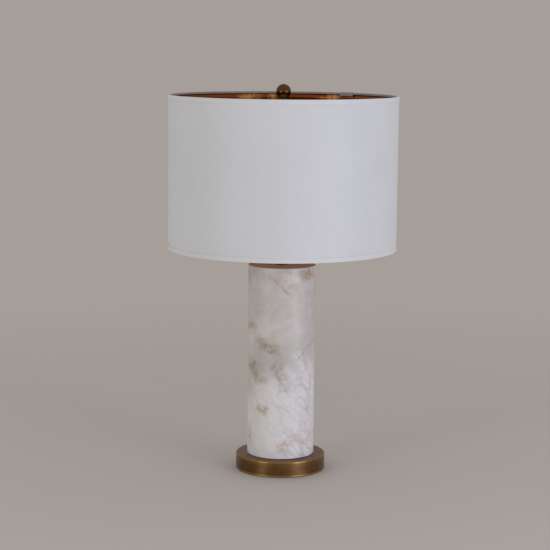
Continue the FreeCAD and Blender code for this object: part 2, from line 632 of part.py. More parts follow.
def make_column():
    """Gasket, drilled stone cylinder and the neck on top of it."""
    stone_radius = "Size.stone_dia / 2"
    stone_bore = f"{PIPE_RADIUS} + Size.stone_bore_gap"
    gasket_radius = f"{stone_radius} - Size.gasket_inset"
    turned("column_gasket", tube_outline(PLAIN_HOLE, gasket_radius, BASE_TOP, STONE_FOOT))
    turned(
        "stone_column",
        tube_outline(stone_bore, stone_radius, STONE_FOOT, STONE_TOP, "Size.stone_edge_round"),
    )
    turned(
        "neck",
        tube_outline(PLAIN_HOLE, "Size.neck_dia / 2", STONE_TOP, NECK_TOP, "Size.neck_edge_round"),
    )


# ---------------------------------------------------------------- harp


def make_harp_saddle():
    """Flat strip with two upturned arms, each with a post for the harp's foot."""
    body = new_body("harp_saddle")
    outer = f"({FOOT_PLACE} + Size.saddle_thick / 2)"
    inner = f"({FOOT_PLACE} - Size.saddle_thick / 2)"
    inner_round = "Size.saddle_bend_round - Size.saddle_thick"
    strip = new_sketch(body, "strip", "XZ_Plane")
    draw_line(strip, [
        (f"-{outer}", NECK_TOP, "Size.saddle_bend_round"),
        (outer, NECK_TOP, "Size.saddle_bend_round"),
        (outer, ARM_TOP),
        (inner, ARM_TOP),
        (inner, SADDLE_TOP, inner_round),
        (f"-{inner}", SADDLE_TOP, inner_round),
        (f"-{inner}", ARM_TOP),
        (f"-{outer}", ARM_TOP),
    ])
    add_pad(body, strip, "Size.pipe_dia + 2 * Size.saddle_margin", both_ways=True)
    posts = new_sketch(body, "posts", "XY_Plane", lift=ARM_TOP)
    for place_x in (f"-{FOOT_PLACE}", FOOT_PLACE):
        draw_circle(posts, "Size.harp_wire_dia / 2 - Size.post_inset", place_x)
    add_pad(body, posts, "Size.post_tall", name="posts_pad")
    hole = new_sketch(body, "hole", "XY_Plane", lift=ARM_TOP)
    draw_circle(hole, PLAIN_HOLE)
    add_pocket(body, hole, "Size.saddle_arm_tall + 2 * Size.saddle_thick")


def make_harp_loop():
    """Wire bent up from one foot, over the bulb and down to the other, with a bored boss on top."""
    body = new_body("harp_loop")
    corners = [
        (FOOT_PLACE, POST_TOP, None),
        (FOOT_PLACE, f"{NECK_TOP} + Size.harp_leg_tall", "Size.harp_leg_round"),
        ("Size.harp_spread / 2", f"{NECK_TOP} + Size.harp_hip_tall", "Size.harp_hip_round"),
        ("Size.harp_top_spread / 2", HARP_LINE, "Size.harp_top_round"),
    ]
    mirrored = [(f"-({across})", up, radius) for across, up, radius in corners]
    path = new_sketch(body, "path", "XZ_Plane")
    draw_line(path, mirrored + corners[::-1], closed=False)
    section = new_sketch(body, "section", "XY_Plane", lift=POST_TOP)
    draw_circle(section, "Size.harp_wire_dia / 2", f"-{FOOT_PLACE}")
    pipe = body.newObject("PartDesign::AdditivePipe", "harp_loop_pipe")
    pipe.Profile = section
    pipe.Spine = path
    DOCUMENT.recompute()
    eye = new_sketch(body, "eye", "XY_Plane", lift=EYE_FOOT)
    draw_circle(eye, "Size.harp_eye_dia / 2")
    add_pad(body, eye, EYE_THICK, name="eye_pad")
    hole = new_sketch(body, "hole", "XY_Plane", lift=HARP_TOP)
    draw_circle(hole, "Size.rivet_dia / 2 + Size.rivet_gap")
    add_pocket(body, hole, EYE_THICK)


def make_harp_stud():
    """Threaded stud riveted through the harp's eye, with the flange that the shade sits on."""
    rivet = "Size.rivet_dia / 2"
    rivet_head = "Size.rivet_head_dia / 2"
    flange = "Size.stud_flange_dia / 2"
    stud = "Size.stud_dia / 2"
    head_foot = f"{EYE_FOOT} - Size.rivet_head_thick"
    turned("harp_stud", [
        (AXIS, head_foot),
        (rivet_head, head_foot),
        (rivet_head, EYE_FOOT),
        (rivet, EYE_FOOT),
        (rivet, HARP_TOP),
        (flange, HARP_TOP),
        (flange, FLANGE_TOP),
        (stud, FLANGE_TOP),
        (stud, f"{STUD_TOP} - Size.stud_tip"),
        (f"{stud} - Size.stud_tip", STUD_TOP),
        (AXIS, STUD_TOP),
    ])


def make_harp_ferrules():
    """Two sleeves that lock the harp's feet on the posts."""
    foot = f"({ARM_TOP} + Size.ferrule_lift)"
    outer = f"{FERRULE_BORE} + Size.ferrule_wall"
    top = f"{foot} + Size.ferrule_long"
    for label, sign in (("harp_ferrule_left", "-"), ("harp_ferrule_right", "")):
        outline = tube_outline(FERRULE_BORE, outer, foot, top, "Size.ferrule_edge_round")
        body = turned(label, outline)
        turn_to(body, (0, 0, 1), 0, x=f"{sign}{FOOT_PLACE}")


# ---------------------------------------------------------------- lampholder


def make_socket_cap():
    """Spun cap: a threaded neck, a sloping shoulder and a short wall that takes the shell."""
    neck = "Size.cap_neck_dia / 2"
    body = turned("socket_cap", [
        (THREADED_HOLE, SADDLE_TOP),
        (neck, SADDLE_TOP),
        (neck, CAP_NECK_TOP),
        (CAP_RADIUS, CAP_SHOULDER, "Size.cap_shoulder_round"),
        (CAP_RADIUS, CAP_TOP),
        (CAP_INNER, CAP_TOP),
        (CAP_INNER, f"{CAP_SHOULDER} + Size.cap_wall", "Size.cap_shoulder_round - Size.cap_wall"),
        (neck, PIPE_TOP),
        (THREADED_HOLE, PIPE_TOP),
    ])
    screw_height = f"{SADDLE_TOP} + Size.cap_screw_height"
    screw = new_sketch(body, "screw", "XZ_Plane")
    draw_circle(screw, "Size.cap_screw_dia / 2 + Size.thread_gap", AXIS, screw_height)
    add_pocket(body, screw, CAP_RADIUS)
    neck_tip = "(Size.cap_neck_dia / 2)"
    head_radius = "Size.cap_screw_head_dia / 2"
    shank_radius = "Size.cap_screw_dia / 2"
    set_screw = turned("cap_set_screw", [
        (AXIS, THREADED_HOLE),
        (shank_radius, THREADED_HOLE),
        (shank_radius, neck_tip),
        (head_radius, neck_tip),
        (head_radius, f"{neck_tip} + Size.cap_screw_head_thick", "Size.small_round"),
        (AXIS, f"{neck_tip} + Size.cap_screw_head_thick"),
    ])
    turn_to(set_screw, (1, 0, 0), -90, z=screw_height)


def pierce_for_switch(body):
    """The hole that the switch shaft passes, in the front wall of a tube."""
    hole = new_sketch(body, "switch_hole", "XZ_Plane")
    draw_circle(hole, "Size.shaft_dia / 2 + Size.switch_hole_gap", AXIS, SWITCH)
    add_pocket(body, hole, CAP_RADIUS, along_normal=True)


def make_socket_shell():
    """Outer shell with a rolled lip, and the insulating sleeve inside it."""
    lip = f"({SHELL_RADIUS} + Size.shell_lip)"
    shell = turned("socket_shell", [
        (SHELL_INNER, SHELL_FOOT),
        (SHELL_RADIUS, SHELL_FOOT),
        (SHELL_RADIUS, f"{SHELL_TOP} - Size.shell_lip_tall"),
        (lip, f"{SHELL_TOP} - Size.shell_lip_tall", "Size.small_round"),
        (lip, SHELL_TOP, "Size.small_round"),
        (SHELL_INNER, SHELL_TOP),
    ])
    pierce_for_switch(shell)
    sleeve = turned("socket_sleeve", tube_outline(SLEEVE_INNER, SLEEVE_RADIUS, SHELL_FOOT, SHELL_TOP))
    pierce_for_switch(sleeve)


def make_socket_core():
    """Moulded core: two flats for the terminals and a bore for the switch shaft."""
    body = turned(
        "socket_core",
        tube_outline(AXIS, CORE_RADIUS, CORE_FOOT, CORE_TOP, "Size.core_edge_round"),
    )
    flats = new_sketch(body, "flats", "XY_Plane", lift=CORE_FOOT)
    for near, far in ((TERMINAL_FLAT, CAP_RADIUS), (f"-{TERMINAL_FLAT}", f"-{CAP_RADIUS}")):
        draw_box(flats, near, far, f"-{CAP_RADIUS}", CAP_RADIUS)
    add_pocket(body, flats, "Size.terminal_flat_tall", along_normal=True, name="flats_pocket")
    shaft = new_sketch(body, "shaft", "XZ_Plane", lift="Size.shaft_inner")
    draw_circle(shaft, "Size.shaft_dia / 2 + Size.shaft_gap", AXIS, SWITCH)
    add_pocket(body, shaft, CAP_RADIUS, along_normal=True, name="shaft_pocket")
    terminals = new_sketch(body, "terminals", "YZ_Plane")
    draw_circle(terminals, "Size.terminal_shank_dia / 2", AXIS, f"{CORE_FOOT} + Size.terminal_height")
    add_pocket(body, terminals, f"2 * {TERMINAL_FLAT}", both_ways=True, name="terminal_pocket")


def make_terminal_screws():
    """Two binding-head screws on the core's flats, one each side."""
    screws = []
    for side, degrees in (("right", 90), ("left", -90)):
        head = primitive(
            "Cylinder",
            f"terminal_head_{side}",
            {"Radius": "Size.terminal_head_dia / 2", "Height": "Size.terminal_head_thick"},
        )
        shank = primitive(
            "Cylinder",
            f"terminal_shank_{side}",
            {"Radius": "Size.terminal_shank_dia / 2", "Height": "Size.terminal_shank_long"},
        )
        sign = "" if side == "right" else "-"
        shank_place = f"{sign}({TERMINAL_FLAT} - Size.terminal_shank_long)"
        height = f"{CORE_FOOT} + Size.terminal_height"
        turn_to(head, (0, 1, 0), degrees, x=f"{sign}{TERMINAL_FLAT}", z=height)
        turn_to(shank, (0, 1, 0), degrees, x=shank_place, z=height)
        screws.append(boolean("Fuse", f"terminal_screw_{side}", head, shank))
    group = DOCUMENT.addObject("Part::Compound", "terminal_screws")
    group.Links = screws
    group.Label = "terminal_screws"
    FINISHED.append(group)
    DOCUMENT.recompute()


def make_screw_shell():
    """Threaded shell that takes the bulb, with a hole in its floor for the centre contact."""
    hole = "Size.contact_long / 2 + Size.contact_gap"
    turned("socket_screw_shell", [
        (hole, CORE_TOP),
        (SCREW_SHELL_RADIUS, CORE_TOP),
        (SCREW_SHELL_RADIUS, SCREW_SHELL_TOP),
        (SCREW_SHELL_INNER, SCREW_SHELL_TOP),
        (SCREW_SHELL_INNER, f"{CORE_TOP} + Size.screw_shell_wall"),
        (hole, f"{CORE_TOP} + Size.screw_shell_wall"),
    ])


def make_center_contact():
    """Springy brass leaf that rises from the core to the bulb's contact."""
    body = new_body("socket_center_contact")
    leaf = new_sketch(body, "leaf", "XZ_Plane")
    half = "Size.contact_long / 2"
    draw_line(leaf, [
        (f"-({half})", CORE_TOP),
        (AXIS, CORE_TOP),
        (half, f"{LEAF_TOP} - Size.contact_thick"),
        (half, LEAF_TOP),
        (AXIS, f"{CORE_TOP} + Size.contact_thick"),
        (f"-({half})", f"{CORE_TOP} + Size.contact_thick"),
    ])
    add_pad(body, leaf, "Size.contact_wide", both_ways=True)


def make_switch():
    """Shaft and knob of the turn switch, on a level axis towards the front."""
    shaft_radius = "Size.shaft_dia / 2"
    shaft = turned("switch_shaft", tube_outline(AXIS, shaft_radius, "Size.shaft_inner", SHAFT_OUTER))
    turn_to(shaft, (1, 0, 0), 90, z=SWITCH)
    knob_radius = "Size.knob_dia / 2"
    waist = "Size.knob_waist_dia / 2"
    waist_end = f"({KNOB_NEAR} + Size.knob_waist_long)"
    knob = turned("switch_knob", [
        (shaft_radius, KNOB_NEAR),
        (waist, KNOB_NEAR),
        (waist, waist_end),
        (knob_radius, waist_end, "Size.knob_round"),
        (knob_radius, KNOB_FAR, "Size.knob_round"),
        (AXIS, KNOB_FAR),
        (AXIS, SHAFT_OUTER),
        (shaft_radius, SHAFT_OUTER),
    ])
    turn_to(knob, (1, 0, 0), 90, z=SWITCH)


# ---------------------------------------------------------------- bulb


def make_bulb():
    """Glass, screw cap, insulator and contact of the bulb."""
    turned(
        "bulb_contact",
        tube_outline(AXIS, "Size.bulb_contact_dia / 2", BULB_FOOT, BULB_INSULATOR_FOOT),
    )
    turned("bulb_insulator", [
        (AXIS, BULB_INSULATOR_FOOT),
        ("Size.bulb_contact_dia / 2", BULB_INSULATOR_FOOT),
        (BULB_CAP_INNER, BULB_CAP_FOOT),
        (AXIS, BULB_CAP_FOOT),
    ])
    turned("bulb_cap", tube_outline(BULB_CAP_INNER, BULB_THREAD, BULB_CAP_FOOT, BULB_CAP_TOP))
    wall = "Size.bulb_glass_wall"
    neck_foot = f"({BULB_CAP_TOP} - Size.bulb_neck_deep)"
    neck_corner = f"({BULB_CAP_TOP} + Size.bulb_neck_tall)"
    radius = "Size.bulb_dia / 2"
    crown = f"({radius} - Size.bulb_crown_flat)"
    cheek = f"({BULB_TOP} - {crown} - Size.bulb_cheek_drop)"
    turned("bulb_glass", [
        (BULB_NECK, neck_foot),
        (BULB_NECK, neck_corner, "Size.bulb_neck_round"),
        (radius, cheek, "Size.bulb_cheek_round"),
        (radius, BULB_TOP, crown),
        (AXIS, BULB_TOP),
        (AXIS, f"{BULB_TOP} - {wall}"),
        (f"{radius} - {wall}", f"{BULB_TOP} - {wall}", f"{crown} - {wall}"),
        (f"{radius} - {wall}", cheek, f"Size.bulb_cheek_round - {wall}"),
        (f"{BULB_NECK} - {wall}", neck_corner, f"Size.bulb_neck_round + {wall}"),
        (f"{BULB_NECK} - {wall}", neck_foot),
    ])


# ---------------------------------------------------------------- shade


def make_shade_walls():
    """Cloth drum and the stiff lining behind it."""
    low = f"{SHADE_FOOT} + Size.trim_thick"
    high = f"{SHADE_TOP} - Size.trim_thick"
    turned("shade_fabric", tube_outline(LINING_RADIUS, CLOTH_RADIUS, low, high))
    turned("shade_lining", tube_outline(LINING_INNER, LINING_RADIUS, low, high))


def make_shade_rings():
    """Wire rings inside the two rims."""
    radii = {"Radius1": RING_LINE, "Radius2": "Size.ring_wire_dia / 2"}
    for label, height in (("shade_top_ring", TOP_RING), ("shade_bottom_ring", BOTTOM_RING)):
        ring = primitive("Torus", label, radii, z=height)
        ring.Label = label
        FINISHED.append(ring)
    DOCUMENT.recompute()


def trim_outline(edge, inward):
    """Section of the tape folded over a rim: inward is - at the upper rim and + at the lower one."""
    outer = "(Size.shade_dia / 2)"
    turn_in = "Size.trim_round - Size.trim_thick"
    return [
        (CLOTH_RADIUS, f"{edge} {inward} Size.trim_outer_tall"),
        (outer, f"{edge} {inward} Size.trim_outer_tall"),
        (outer, edge, "Size.trim_round"),
        (TRIM_INNER, edge, "Size.trim_round"),
        (TRIM_INNER, f"{edge} {inward} Size.trim_inner_tall"),
        (TRIM_WALL, f"{edge} {inward} Size.trim_inner_tall"),
        (TRIM_WALL, f"{edge} {inward} Size.trim_thick"),
        (CLOTH_RADIUS, f"{edge} {inward} Size.trim_thick"),
    ]


def make_trims():
    """Tape over the two rims, slit for the spider's arms, and its lapped end inside the upper one."""
    turned("bottom_trim", trim_outline(SHADE_FOOT, "+"))
    upper = turned("top_trim", trim_outline(SHADE_TOP, "-"))
    slit = new_sketch(upper, "slit", "XY_Plane", lift=f"{SHADE_TOP} - Size.trim_inner_tall")
    half = "(Size.arm_wire_dia / 2 + Size.slit_gap)"
    draw_box(slit, f"-{half}", half, f"{TRIM_INNER} - Size.slit_gap", f"{TRIM_WALL} + Size.ring_gap")
    pocket = add_pocket(upper, slit, "Size.trim_inner_tall - Size.trim_thick", along_normal=True)
    add_polar_pattern(upper, pocket, "Size.arm_count")
    tab_outer = f"({TRIM_INNER} - Size.ring_gap)"
    tab = turned(
        "trim_lap",
        tube_outline(
            f"{tab_outer} - Size.tab_thick",
            tab_outer,
            f"{SHADE_TOP} - Size.trim_inner_tall - Size.tab_drop",
            f"{SHADE_TOP} - Size.trim_round",
        ),
        angle="Size.tab_wide_angle",
    )
    tab.setExpression("Placement.Rotation.Angle", "Size.tab_place_angle")
    DOCUMENT.recompute()


def make_spider():
    """Hub washer and three wire arms, one of them towards the back."""
    hole = "Size.stud_dia / 2 + Size.hub_gap"
    turned("spider_hub", tube_outline(hole, "Size.hub_dia / 2", HUB_FOOT, HUB_TOP))
    body = new_body("spider_arms")
    body.AllowCompound = True
    start = "Size.hub_dia / 2"
    path = new_sketch(body, "path", "XZ_Plane")
    draw_line(
        path,
        [
            (start, HUB_MIDDLE),
            ("Size.arm_flat", HUB_MIDDLE, "Size.arm_bend_round"),
            (f"{RING_LINE} - Size.ring_wire_dia / 2", ARM_END),
        ],
        closed=False,
    )
    section = new_sketch(body, "section", "YZ_Plane", lift=start)
    draw_circle(section, "Size.arm_wire_dia / 2", AXIS, HUB_MIDDLE)
    arm = body.newObject("PartDesign::AdditivePipe", "spider_arms_pipe")
    arm.Profile = section
    arm.Spine = path
    DOCUMENT.recompute()
    add_polar_pattern(body, arm, "Size.arm_count")
    turn_to(body, (0, 0, 1), 90)


# ---------------------------------------------------------------- finial


def make_finial():
    """Threaded insert, fluted collar and ball."""
    collar_radius = "Size.collar_dia / 2"
    turned("finial_insert", tube_outline(INSERT_BORE, INSERT_RADIUS, COLLAR_FOOT, INSERT_TOP))
    collar = turned(
        "finial_collar",
        tube_outline(INSERT_RADIUS, collar_radius, COLLAR_FOOT, COLLAR_TOP, "Size.collar_edge_round"),
    )
    flute = new_sketch(collar, "flute", "XY_Plane", lift=COLLAR_TOP)
    draw_circle(flute, "Size.flute_dia / 2", collar_radius)
    pocket = add_pocket(collar, flute, "Size.collar_tall")
    add_polar_pattern(collar, pocket, "Size.flute_count")
    sphere = primitive("Sphere", "ball_sphere", {"Radius": "Size.ball_dia / 2"}, z=BALL_CENTRE)
    below = primitive(
        "Cylinder",
        "ball_below",
        {"Radius": "Size.ball_dia", "Height": "Size.ball_dia"},
        z=f"{COLLAR_TOP} - Size.ball_dia",
    )
    bore_sizes = {"Radius": INSERT_RADIUS, "Height": f"{INSERT_TOP} - {COLLAR_FOOT}"}
    bore = primitive("Cylinder", "ball_bore", bore_sizes, z=COLLAR_FOOT)
    flat = boolean("Cut", "ball_flat", sphere, below)
    boolean("Cut", "finial_ball", flat, bore, finished=True)


# ---------------------------------------------------------------- building and writing


def check_document():
    """Stops the build if any object failed or any piece has no valid solid."""
    for thing in DOCUMENT.Objects:
        if "Invalid" in thing.State or "Error" in thing.State:
            raise RuntimeError(f"{thing.Name} failed: {thing.State}")
    for piece in FINISHED:
        shape = piece.Shape
        if shape.isNull() or not shape.isValid() or not shape.Solids:
            raise RuntimeError(f"{piece.Label} has no valid solid")


def write_parts():
    """Writes each piece to its own file, named after its label."""
    os.makedirs("parts", exist_ok=True)
    for piece in FINISHED:
        piece.Shape.exportStep(f"parts/{piece.Label}.step")
        box = piece.Shape.BoundBox
        print(f"{piece.Label:22s} solids {len(piece.Shape.Solids)}  z {box.ZMin:.2f} to {box.ZMax:.2f} mm")


fill_sheet()
make_felt_pad()
make_base_weight()
make_base_cover()
make_cord_bushing()
make_clamp()
make_threaded_pipe()
make_column()
make_harp_saddle()
make_harp_loop()
make_harp_stud()
make_harp_ferrules()
make_socket_cap()
make_socket_shell()
make_socket_core()
make_terminal_screws()
make_screw_shell()
make_center_contact()
make_switch()
make_bulb()
make_shade_walls()
make_shade_rings()
make_trims()
make_spider()
make_finial()
DOCUMENT.recompute()
check_document()
write_parts()
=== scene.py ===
# %% [markdown]
# # A column table lamp
# The lamp is a polished stone cylinder on a brass disc, under a white drum shade. Its hard pieces
# come from a CAD model that is loaded below, already in place and in metres, so this script gives
# them their finishes and makes the cloth, foil and threads, which a CAD model only stands in for.

import math

import bmesh
import bpy
import numpy as np
from mathutils import Matrix, Vector


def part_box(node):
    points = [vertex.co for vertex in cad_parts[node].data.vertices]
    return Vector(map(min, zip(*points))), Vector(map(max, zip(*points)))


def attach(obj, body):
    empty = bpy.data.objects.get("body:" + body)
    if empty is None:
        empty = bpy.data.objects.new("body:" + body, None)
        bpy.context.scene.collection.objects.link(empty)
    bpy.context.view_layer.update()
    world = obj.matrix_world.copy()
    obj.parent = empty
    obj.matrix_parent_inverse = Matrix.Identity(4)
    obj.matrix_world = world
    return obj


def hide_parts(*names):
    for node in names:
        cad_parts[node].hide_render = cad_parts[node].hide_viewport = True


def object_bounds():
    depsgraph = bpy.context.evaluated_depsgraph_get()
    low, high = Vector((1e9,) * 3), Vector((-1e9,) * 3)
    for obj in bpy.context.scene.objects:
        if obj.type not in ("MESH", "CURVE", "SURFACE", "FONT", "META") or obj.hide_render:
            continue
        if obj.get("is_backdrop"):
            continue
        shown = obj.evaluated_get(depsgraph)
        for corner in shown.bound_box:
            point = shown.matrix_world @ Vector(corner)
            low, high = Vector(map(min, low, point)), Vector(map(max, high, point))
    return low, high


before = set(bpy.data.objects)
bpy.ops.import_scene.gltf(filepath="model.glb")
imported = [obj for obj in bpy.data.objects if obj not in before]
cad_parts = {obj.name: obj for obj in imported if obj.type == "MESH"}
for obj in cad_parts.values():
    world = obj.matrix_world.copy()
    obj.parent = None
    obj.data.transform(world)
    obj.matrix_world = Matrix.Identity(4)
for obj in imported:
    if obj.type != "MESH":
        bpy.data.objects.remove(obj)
cad_box = [list(corner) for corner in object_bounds()]
print(len(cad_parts), "hard pieces in a box of", np.round(np.subtract(*cad_box[::-1]), 3), "m")

# %% [markdown]
# ## The camera
# The photograph was taken from a little above, with a long lens. A camera can be placed by eye, but
# here the edges of the lamp were measured in the picture and one camera was fitted to them, which
# also gave the real sizes. The lens length follows from the picture's width in pixels.

# %% Camera
PICTURE_SIDE = 550
FOCAL_PIXELS = 1679
CAMERA_PLACE = (-0.0115, -2.770, 0.7325)
DOWNWARD = math.radians(8.305)
ROLL = math.radians(0.52)

camera_data = bpy.data.cameras.new("camera")
camera_data.sensor_width = 36
camera_data.lens = camera_data.sensor_width * FOCAL_PIXELS / PICTURE_SIDE
camera = bpy.data.objects.new("camera", camera_data)
bpy.context.collection.objects.link(camera)
tilt = Matrix.Rotation(math.pi / 2 - DOWNWARD, 4, "X") @ Matrix.Rotation(ROLL, 4, "Z")
camera.matrix_world = Matrix.Translation(CAMERA_PLACE) @ tilt
bpy.context.scene.camera = camera
print("lens", round(camera_data.lens, 1), "mm")

# %% [markdown]
# ## Light
# A soft studio has large lamps, because a large lamp makes soft shadows and a broad highlight on
# metal. Two panels stand in front of the lamp, to its left and right, where the photograph's two
# soft stripes on the brass say they were. They reach a little above the shade, because the
# highlights on the ball are at its middle, and the copper inside is mostly in shade. A wide cool
# lamp further to the right models the drum, and a dim surround fills the shadows. The view
# transform is Standard, so that a colour comes out about as it is written.

# %% Light
AIM = Vector((0, 0, 0.33))


def area_light(name, turn, distance, height, width, tall, watts, colour):
    """A rectangular lamp beside the camera: turn is how far to its right, in degrees."""
    data = bpy.data.lights.new(name, "AREA")
    data.shape = "RECTANGLE"
    data.size, data.size_y, data.energy, data.color = width, tall, watts, colour
    lamp = bpy.data.objects.new(name, data)
    bpy.context.collection.objects.link(lamp)
    angle = math.radians(turn)
    lamp.location = (distance * math.sin(angle), -distance * math.cos(angle), height)
    lamp.rotation_euler = (AIM - lamp.location).to_track_quat("-Z", "Y").to_euler()


area_light("left_panel", -45, 2.38, 0.42, 0.60, 0.76, 9.5, (0.98, 0.98, 0.94))
area_light("right_panel", 40, 2.40, 0.42, 0.44, 0.76, 10.5, (0.84, 0.86, 1.0))
area_light("right_side", 54, 2.60, 0.38, 0.90, 0.70, 12, (0.82, 0.85, 1.0))
bpy.context.scene.view_settings.view_transform = "Standard"
print(len(bpy.data.lights), "lamps")

# %% [markdown]
# ## Writing a finish
# A Blender material is a graph of nodes. Wiring it by hand for each finish is long to read, so a
# small class wraps one output socket: sums with it make Math nodes, and every other node comes
# from one method. The graph can then be written as plain Python expressions.

# %% Sockets and finishes
def srgb(red, green, blue):
    """A colour read off a screen, 0 to 255, as the linear numbers that a shader takes."""
    parts = np.array([red, green, blue]) / 255
    linear = np.where(parts > 0.04045, ((parts + 0.055) / 1.055) ** 2.4, parts / 12.92)
    return (*linear.tolist(), 1.0)


class Wire:
    """An output socket. An operator on numbers adds the Math node of that name."""

    def __init__(self, finish, socket):
        self.finish, self.socket = finish, socket

    def maths(self, operation, *values):
        settings = {"operation": operation}
        return self.finish.add("ShaderNodeMath", settings, dict(enumerate(values)))

    def __add__(self, other):
        return self.maths("ADD", self, other)

    def __sub__(self, other):
        return self.maths("SUBTRACT", self, other)

    def __rsub__(self, other):
        return self.maths("SUBTRACT", other, self)

    def __mul__(self, other):
        return self.maths("MULTIPLY", self, other)

    def __abs__(self):
        return self.maths("ABSOLUTE", self)

    __radd__, __rmul__ = __add__, __mul__

    def sine(self):
        return self.maths("SINE", self)

    def larger(self, other):
        return self.maths("MAXIMUM", self, other)

    def smooth(self, low, high):
        """0 below low, 1 above high and a smooth step between; high may be the smaller one."""
        settings = {"interpolation_type": "SMOOTHSTEP"}
        if low > high:
            return 1 - self.smooth(high, low)
        return self.finish.add("ShaderNodeMapRange", settings, {0: self, 1: low, 2: high})

    def vector(self, operation, other=None, output=0):
        values = {0: self} if other is None else {0: self, 1: other}
        return self.finish.add("ShaderNodeVectorMath", {"operation": operation}, values, output)

    def part(self, axis):
        """One of a vector's three numbers."""
        return self.finish.add("ShaderNodeSeparateXYZ", {}, {0: self}, axis)


class Finish:
    """A graph of nodes, on a new material unless another owner is given."""

    def __init__(self, name, owner=None):
        self.material = owner or bpy.data.materials.new(name)
        self.material.use_nodes = True
        self.tree = self.material.node_tree
        self.tree.nodes.clear()

    def add(self, kind, settings, values, output=0):
        """One node: its settings first, then a value or a wire for each socket."""
        node = self.tree.nodes.new(kind)
        for name, value in settings.items():
            setattr(node, name, value)
        for key, value in values.items():
            if isinstance(value, Wire):
                self.tree.links.new(value.socket, node.inputs[key])
            else:
                node.inputs[key].default_value = value
        return Wire(self, node.outputs[output])

    def place(self):
        """Where a point is on the object, in metres."""
        return self.add("ShaderNodeTexCoord", {}, {}, "Object")

    def flat(self):
        """Where a point is on the cloth before it is bent, in metres: the piece's own UV map."""
        return self.add("ShaderNodeTexCoord", {}, {}, "UV")

    def join(self, x, y, z):
        return self.add("ShaderNodeCombineXYZ", {}, {0: x, 1: y, 2: z})

    def noise(self, where, scale, detail, rough=0.55, bend=0.0):
        """Soft cloudy noise, 0 to 1."""
        values = {
            "Vector": where, "Scale": scale, "Detail": detail,
            "Roughness": rough, "Distortion": bend,
        }
        return self.add("ShaderNodeTexNoise", {}, values, "Fac")

    def mix(self, factor, first, second):
        """One colour to another as factor goes from 0 to 1."""
        values = {0: factor, 6: first, 7: second}
        return self.add("ShaderNodeMix", {"data_type": "RGBA"}, values, 2)

    def bump(self, height, metres, strength=1.0):
        values = {"Height": height, "Distance": metres, "Strength": strength}
        return self.add("ShaderNodeBump", {}, values, "Normal")

    def shade(self, **sockets):
        """The Principled shader; a socket's name is written with _ for each space."""
        values = {name.replace("_", " "): value for name, value in sockets.items()}
        shader = self.add("ShaderNodeBsdfPrincipled", {}, values, "BSDF")
        self.add_output(shader)
        return self.material

    def add_output(self, shader, kind="ShaderNodeOutputMaterial"):
        output = self.tree.nodes.new(kind)
        self.tree.links.new(shader.socket, output.inputs["Surface"])


print("white is", np.round(srgb(255, 255, 255), 2))

# %% [markdown]
# ## Floor and surround
# The lamp stands on a plain pale floor. A floor that ends in a line behind the object draws the
# eye, so this one fades into the surround with distance, before it reaches the lamps, which would
# light it brightly. The surround is a plain colour too: the camera and shiny surfaces see it pale,
# and soft shadows are filled by its light.

# %% Floor and surround
PALE = srgb(166, 158, 152)
FADE_FROM, FADE_TO = 0.6, 1.8
HALF_FLOOR = 6.0

floor_mesh = bpy.data.meshes.new("floor")
corners = [(x * HALF_FLOOR, y * HALF_FLOOR, 0) for x, y in ((-1, -1), (1, -1), (1, 1), (-1, 1))]
floor_mesh.from_pydata(corners, [], [(0, 1, 2, 3)])
floor = bpy.data.objects.new("floor", floor_mesh)
bpy.context.collection.objects.link(floor)
floor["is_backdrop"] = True

ground = Finish("pale_floor")
spot = ground.place()
distance = spot.vector("LENGTH", output="Value")
grain = ground.noise(spot, 900, 2)
tone = ground.mix(grain, srgb(202, 195, 190), srgb(209, 202, 197))
matt = ground.add("ShaderNodeBsdfPrincipled", {}, {"Base Color": tone, "Roughness": 0.75}, "BSDF")
clear = ground.add("ShaderNodeBsdfTransparent", {}, {}, "BSDF")
fade = distance.smooth(FADE_FROM, FADE_TO)
ground.add_output(ground.add("ShaderNodeMixShader", {}, {0: fade, 1: matt, 2: clear}, "Shader"))
floor_mesh.materials.append(ground.material)

world = bpy.data.worlds.new("surround")
bpy.context.scene.world = world
surround = Finish("surround", world)
seen = surround.add("ShaderNodeLightPath", {}, {}, "Is Camera Ray")
for ray in ("Is Glossy Ray", "Is Transmission Ray"):
    seen = seen.larger(surround.add("ShaderNodeLightPath", {}, {}, ray))
fill_light = {"Color": (1.0, 0.98, 0.96, 1), "Strength": 0.54}
fill = surround.add("ShaderNodeBackground", {}, fill_light, "Background")
backdrop = surround.add("ShaderNodeBackground", {}, {"Color": PALE}, "Background")
either = surround.add("ShaderNodeMixShader", {}, {0: seen, 1: fill, 2: backdrop}, "Shader")
surround.add_output(either, "ShaderNodeOutputWorld")
print("floor fades from", FADE_FROM, "to", FADE_TO, "m")

# %% [markdown]
# ## Surfaces from arrays
# Cloth, foil and threads are all bent sheets. Each is a function of two parameters, computed for a
# whole grid of points at once with numpy, and one helper makes a mesh of any such grid. Each piece
# is a closed shell: its grid meets itself both ways, or its ends shrink to a line or a point, and
# the points that fall together there are welded. The shell's signed volume tells which way is out.

